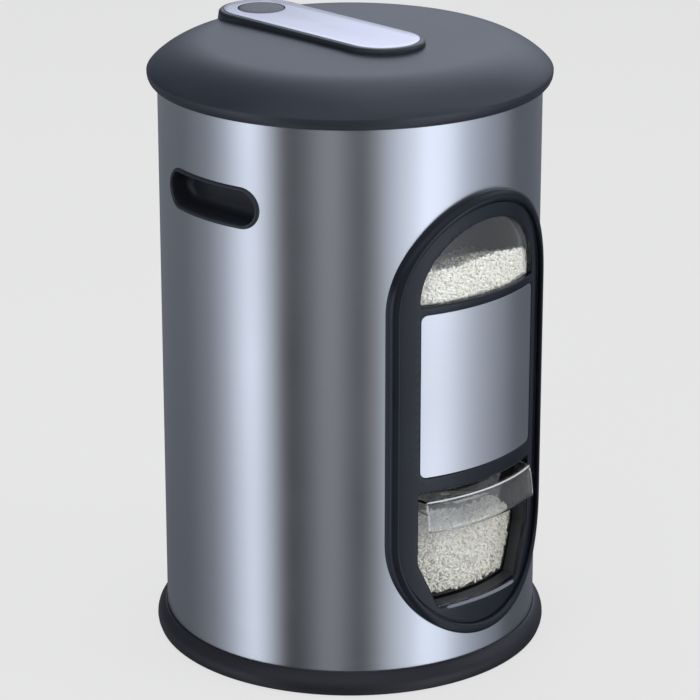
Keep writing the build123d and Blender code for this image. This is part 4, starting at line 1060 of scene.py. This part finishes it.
# Studio: pale floor, cards that only show in the shine, plain soft boxes and the photograph's camera
shot = {"azimuth": -43.58, "pitch": 19.683, "away": 2.160, "height": 0.9813, "lens": 163.45}
studio = {"backdrop": (0.783, 0.783, 0.783, 1), "paper": (0.8, 0.8, 0.8, 1), "paperGlow": 0.9,
          "air": (0.93, 0.96, 1.0, 1), "airPower": 0.5, "radius": 30000.0, "cast": (0.985, 0.995, 1.02)}


def emptyFinish(name):
    material = bpy.data.materials.new(name)
    material.use_nodes = True
    material.node_tree.nodes.clear()
    return material, material.node_tree


def cameraSees(tree):
    path = newNode(tree, "LightPath").outputs
    return maths(tree, "MAXIMUM", path["Is Camera Ray"], path["Is Transmission Ray"])


def shaderMix(tree, share, one, other):
    return newNode(tree, "MixShader", {0: share, 1: one.outputs[0], 2: other.outputs[0]}).outputs[0]


def floorFinish():
    material, tree = emptyFinish("paleFloor")
    paper = newNode(tree, "BsdfDiffuse", {"Color": studio["paper"]})
    glow = newNode(tree, "Emission", {"Color": studio["backdrop"]})
    seen = maths(tree, "MULTIPLY", cameraSees(tree), studio["paperGlow"])
    newNode(tree, "OutputMaterial", {"Surface": shaderMix(tree, seen, paper, glow)})
    return material


def bandsOf(tree, share, stops):
    bands = newNode(tree, "ValToRGB", {"Fac": share})
    elements = bands.color_ramp.elements
    while len(elements) < len(stops):
        elements.new(0.5)
    for element, (where, level) in zip(elements, stops):
        element.position = where
    for element, (where, level) in zip(elements, stops):
        colour = level if isinstance(level, tuple) else [level * part for part in studio["cast"]]
        element.color = (*colour, 1)
    return bands.outputs["Color"]


def aroundStops(stops):
    # (angle from the front towards +X, brightness) to places on the ramp
    return [((angle + 180) / 360, level) for angle, level in stops]


def upStops(stops):
    # (angle above the floor, brightness) to places on the ramp
    return [((math.sin(math.radians(angle)) + 1) / 2, level) for angle, level in stops]


coolTint, midTint, plainTint = (0.925, 0.98, 1.09), (0.945, 0.985, 1.065), (0.97, 0.99, 1.02)
cards = {
    "low": aroundStops([
        (-180, 0.17), (-160, 0.18), (-150, 0.23), (-137, 0.32), (-124, 0.60), (-114, 1.04), (-105, 1.37),
        (-98, 1.06), (-92, 0.66), (-87, 0.30), (-83, 0.10), (-78, 0.07), (-69, 0.16), (-60, 0.32),
        (-52, 0.33),
        (-45, 0.20), (-37, 0.10), (-29, 0.28), (-22, 0.60), (-14, 0.90), (-5, 1.18), (2, 1.56), (15, 1.42),
        (22, 1.10), (28, 0.84), (34, 0.66), (46, 0.44), (61, 0.28), (69, 0.14), (78, 0.13), (100, 0.14),
        (180, 0.17)]),
    "lowFade": upStops([(-90, 0.55), (-26, 0.74), (-15, 1.20), (0, 1.1), (90, 1.0)]),
    "high": aroundStops([
        (-180, 0.12), (-150, 0.12), (-124, 0.28), (-105, 0.5), (-89, 0.6), (-78, 0.65), (-56, 0.8),
        (-37, 0.8), (-22, 0.7), (-5, 0.6), (10, 0.6), (28, 0.6), (42, 0.95), (60, 1.05), (74, 0.85), (86, 0.4),
        (100, 0.85), (118, 1.30), (138, 1.25), (147, 0.85), (156, 0.35), (168, 0.15), (180, 0.12)]),
    "highRise": upStops([(-90, 0.7), (0, 0.40), (6, 0.40), (10, 0.5), (15, 0.72), (21, 1.0), (30, 1.08),
                         (38, 0.98), (50, 0.85), (70, 0.95), (90, 0.9)]),
    "tint": aroundStops([(-180, coolTint), (-92, midTint), (-84, plainTint), (-32, plainTint), (-20, midTint),
                         (60, coolTint), (180, coolTint)]),
    "change": (0.47, 0.54),
}


def studioCard():
    # grey cards and soft boxes round the drum: one band of them low down, another higher up
    material, tree = emptyFinish("studioCards")
    place = newNode(tree, "TexCoord").outputs["Object"]
    split = newNode(tree, "SeparateXYZ", {"Vector": place}).outputs
    turn = maths(tree, "ARCTAN2", split["X"], maths(tree, "MULTIPLY", split["Y"], -1.0))
    around = maths(tree, "MULTIPLY_ADD", turn, 0.5 / math.pi, 0.5)
    up = maths(tree, "MULTIPLY_ADD", split["Z"], 0.5 / (studio["radius"] * toMetres), 0.5)

    def times(one, other):
        return mixed(tree, 1.0, one, other, "MULTIPLY")

    low = times(bandsOf(tree, around, cards["low"]), bandsOf(tree, up, cards["lowFade"]))
    high = times(bandsOf(tree, around, cards["high"]), bandsOf(tree, up, cards["highRise"]))
    both = mixed(tree, spread(tree, up, 0, 1, *cards["change"]), low, high)
    glow = newNode(tree, "Emission", {"Color": times(both, bandsOf(tree, around, cards["tint"]))})
    newNode(tree, "OutputMaterial", {"Surface": glow.outputs[0]})
    return material


finish["paleFloor"] = floorFinish()
finish["studioCards"] = studioCard()
floor = newPiece("studioFloor", turned([(0, 0), (600, 0), (3000, 0), (6000, 0)], 96), "paleFloor")
floor.visible_glossy = False
surround = newPiece("studioCards", turned(rounding(0, 0, studio["radius"], -90, 90, 32), 64), "studioCards")
for flag in ("camera", "diffuse", "transmission", "shadow", "volume_scatter"):
    setattr(surround, "visible_" + flag, False)

world = bpy.data.worlds.new("studioAir")
bpy.context.scene.world = world
world.use_nodes = True
air = world.node_tree
air.nodes.clear()
ambient = newNode(air, "Background", {"Color": studio["air"], "Strength": studio["airPower"]})
shown = newNode(air, "Background", {"Color": studio["backdrop"]})
newNode(air, "OutputWorld", {"Surface": shaderMix(air, cameraSees(air), ambient, shown)})


def softBox(name, place, target, size, power, tint=(1, 1, 1)):
    lamp = bpy.data.lights.new(name, "AREA")
    lamp.shape = "RECTANGLE"
    lamp.size, lamp.size_y = size
    lamp.energy = power
    lamp.color = tint
    box = bpy.data.objects.new(name, lamp)
    box.location = place
    box.rotation_euler = (Vector(target) - Vector(place)).to_track_quat("-Z", "Y").to_euler()
    box.visible_camera = False
    box.visible_glossy = False
    bpy.context.scene.collection.objects.link(box)


softBox("topSoft", (0.1, 0.3, 2.2), (0, 0, 0.3), (1.6, 1.6), 26)
softBox("leftSoft", (-1.9, -0.5, 1.1), (0, 0, 0.25), (0.7, 1.4), 14, (0.94, 0.97, 1))
softBox("rightSoft", (1.0, -1.9, 1.0), (0, 0, 0.2), (0.9, 1.4), 18)

cameraData = bpy.data.cameras.new("photoCamera")
cameraData.lens = shot["lens"]
cameraData.sensor_width = 36
cameraData.clip_end = 50
camera = bpy.data.objects.new("photoCamera", cameraData)
turnWay = math.radians(shot["azimuth"])
camera.location = (math.sin(turnWay) * shot["away"], -math.cos(turnWay) * shot["away"], shot["height"])
camera.rotation_euler = (math.radians(90 - shot["pitch"]), 0, turnWay)
bpy.context.scene.collection.objects.link(camera)
bpy.context.scene.camera = camera
bpy.context.scene.view_settings.view_transform = "Standard"
print("studio set")
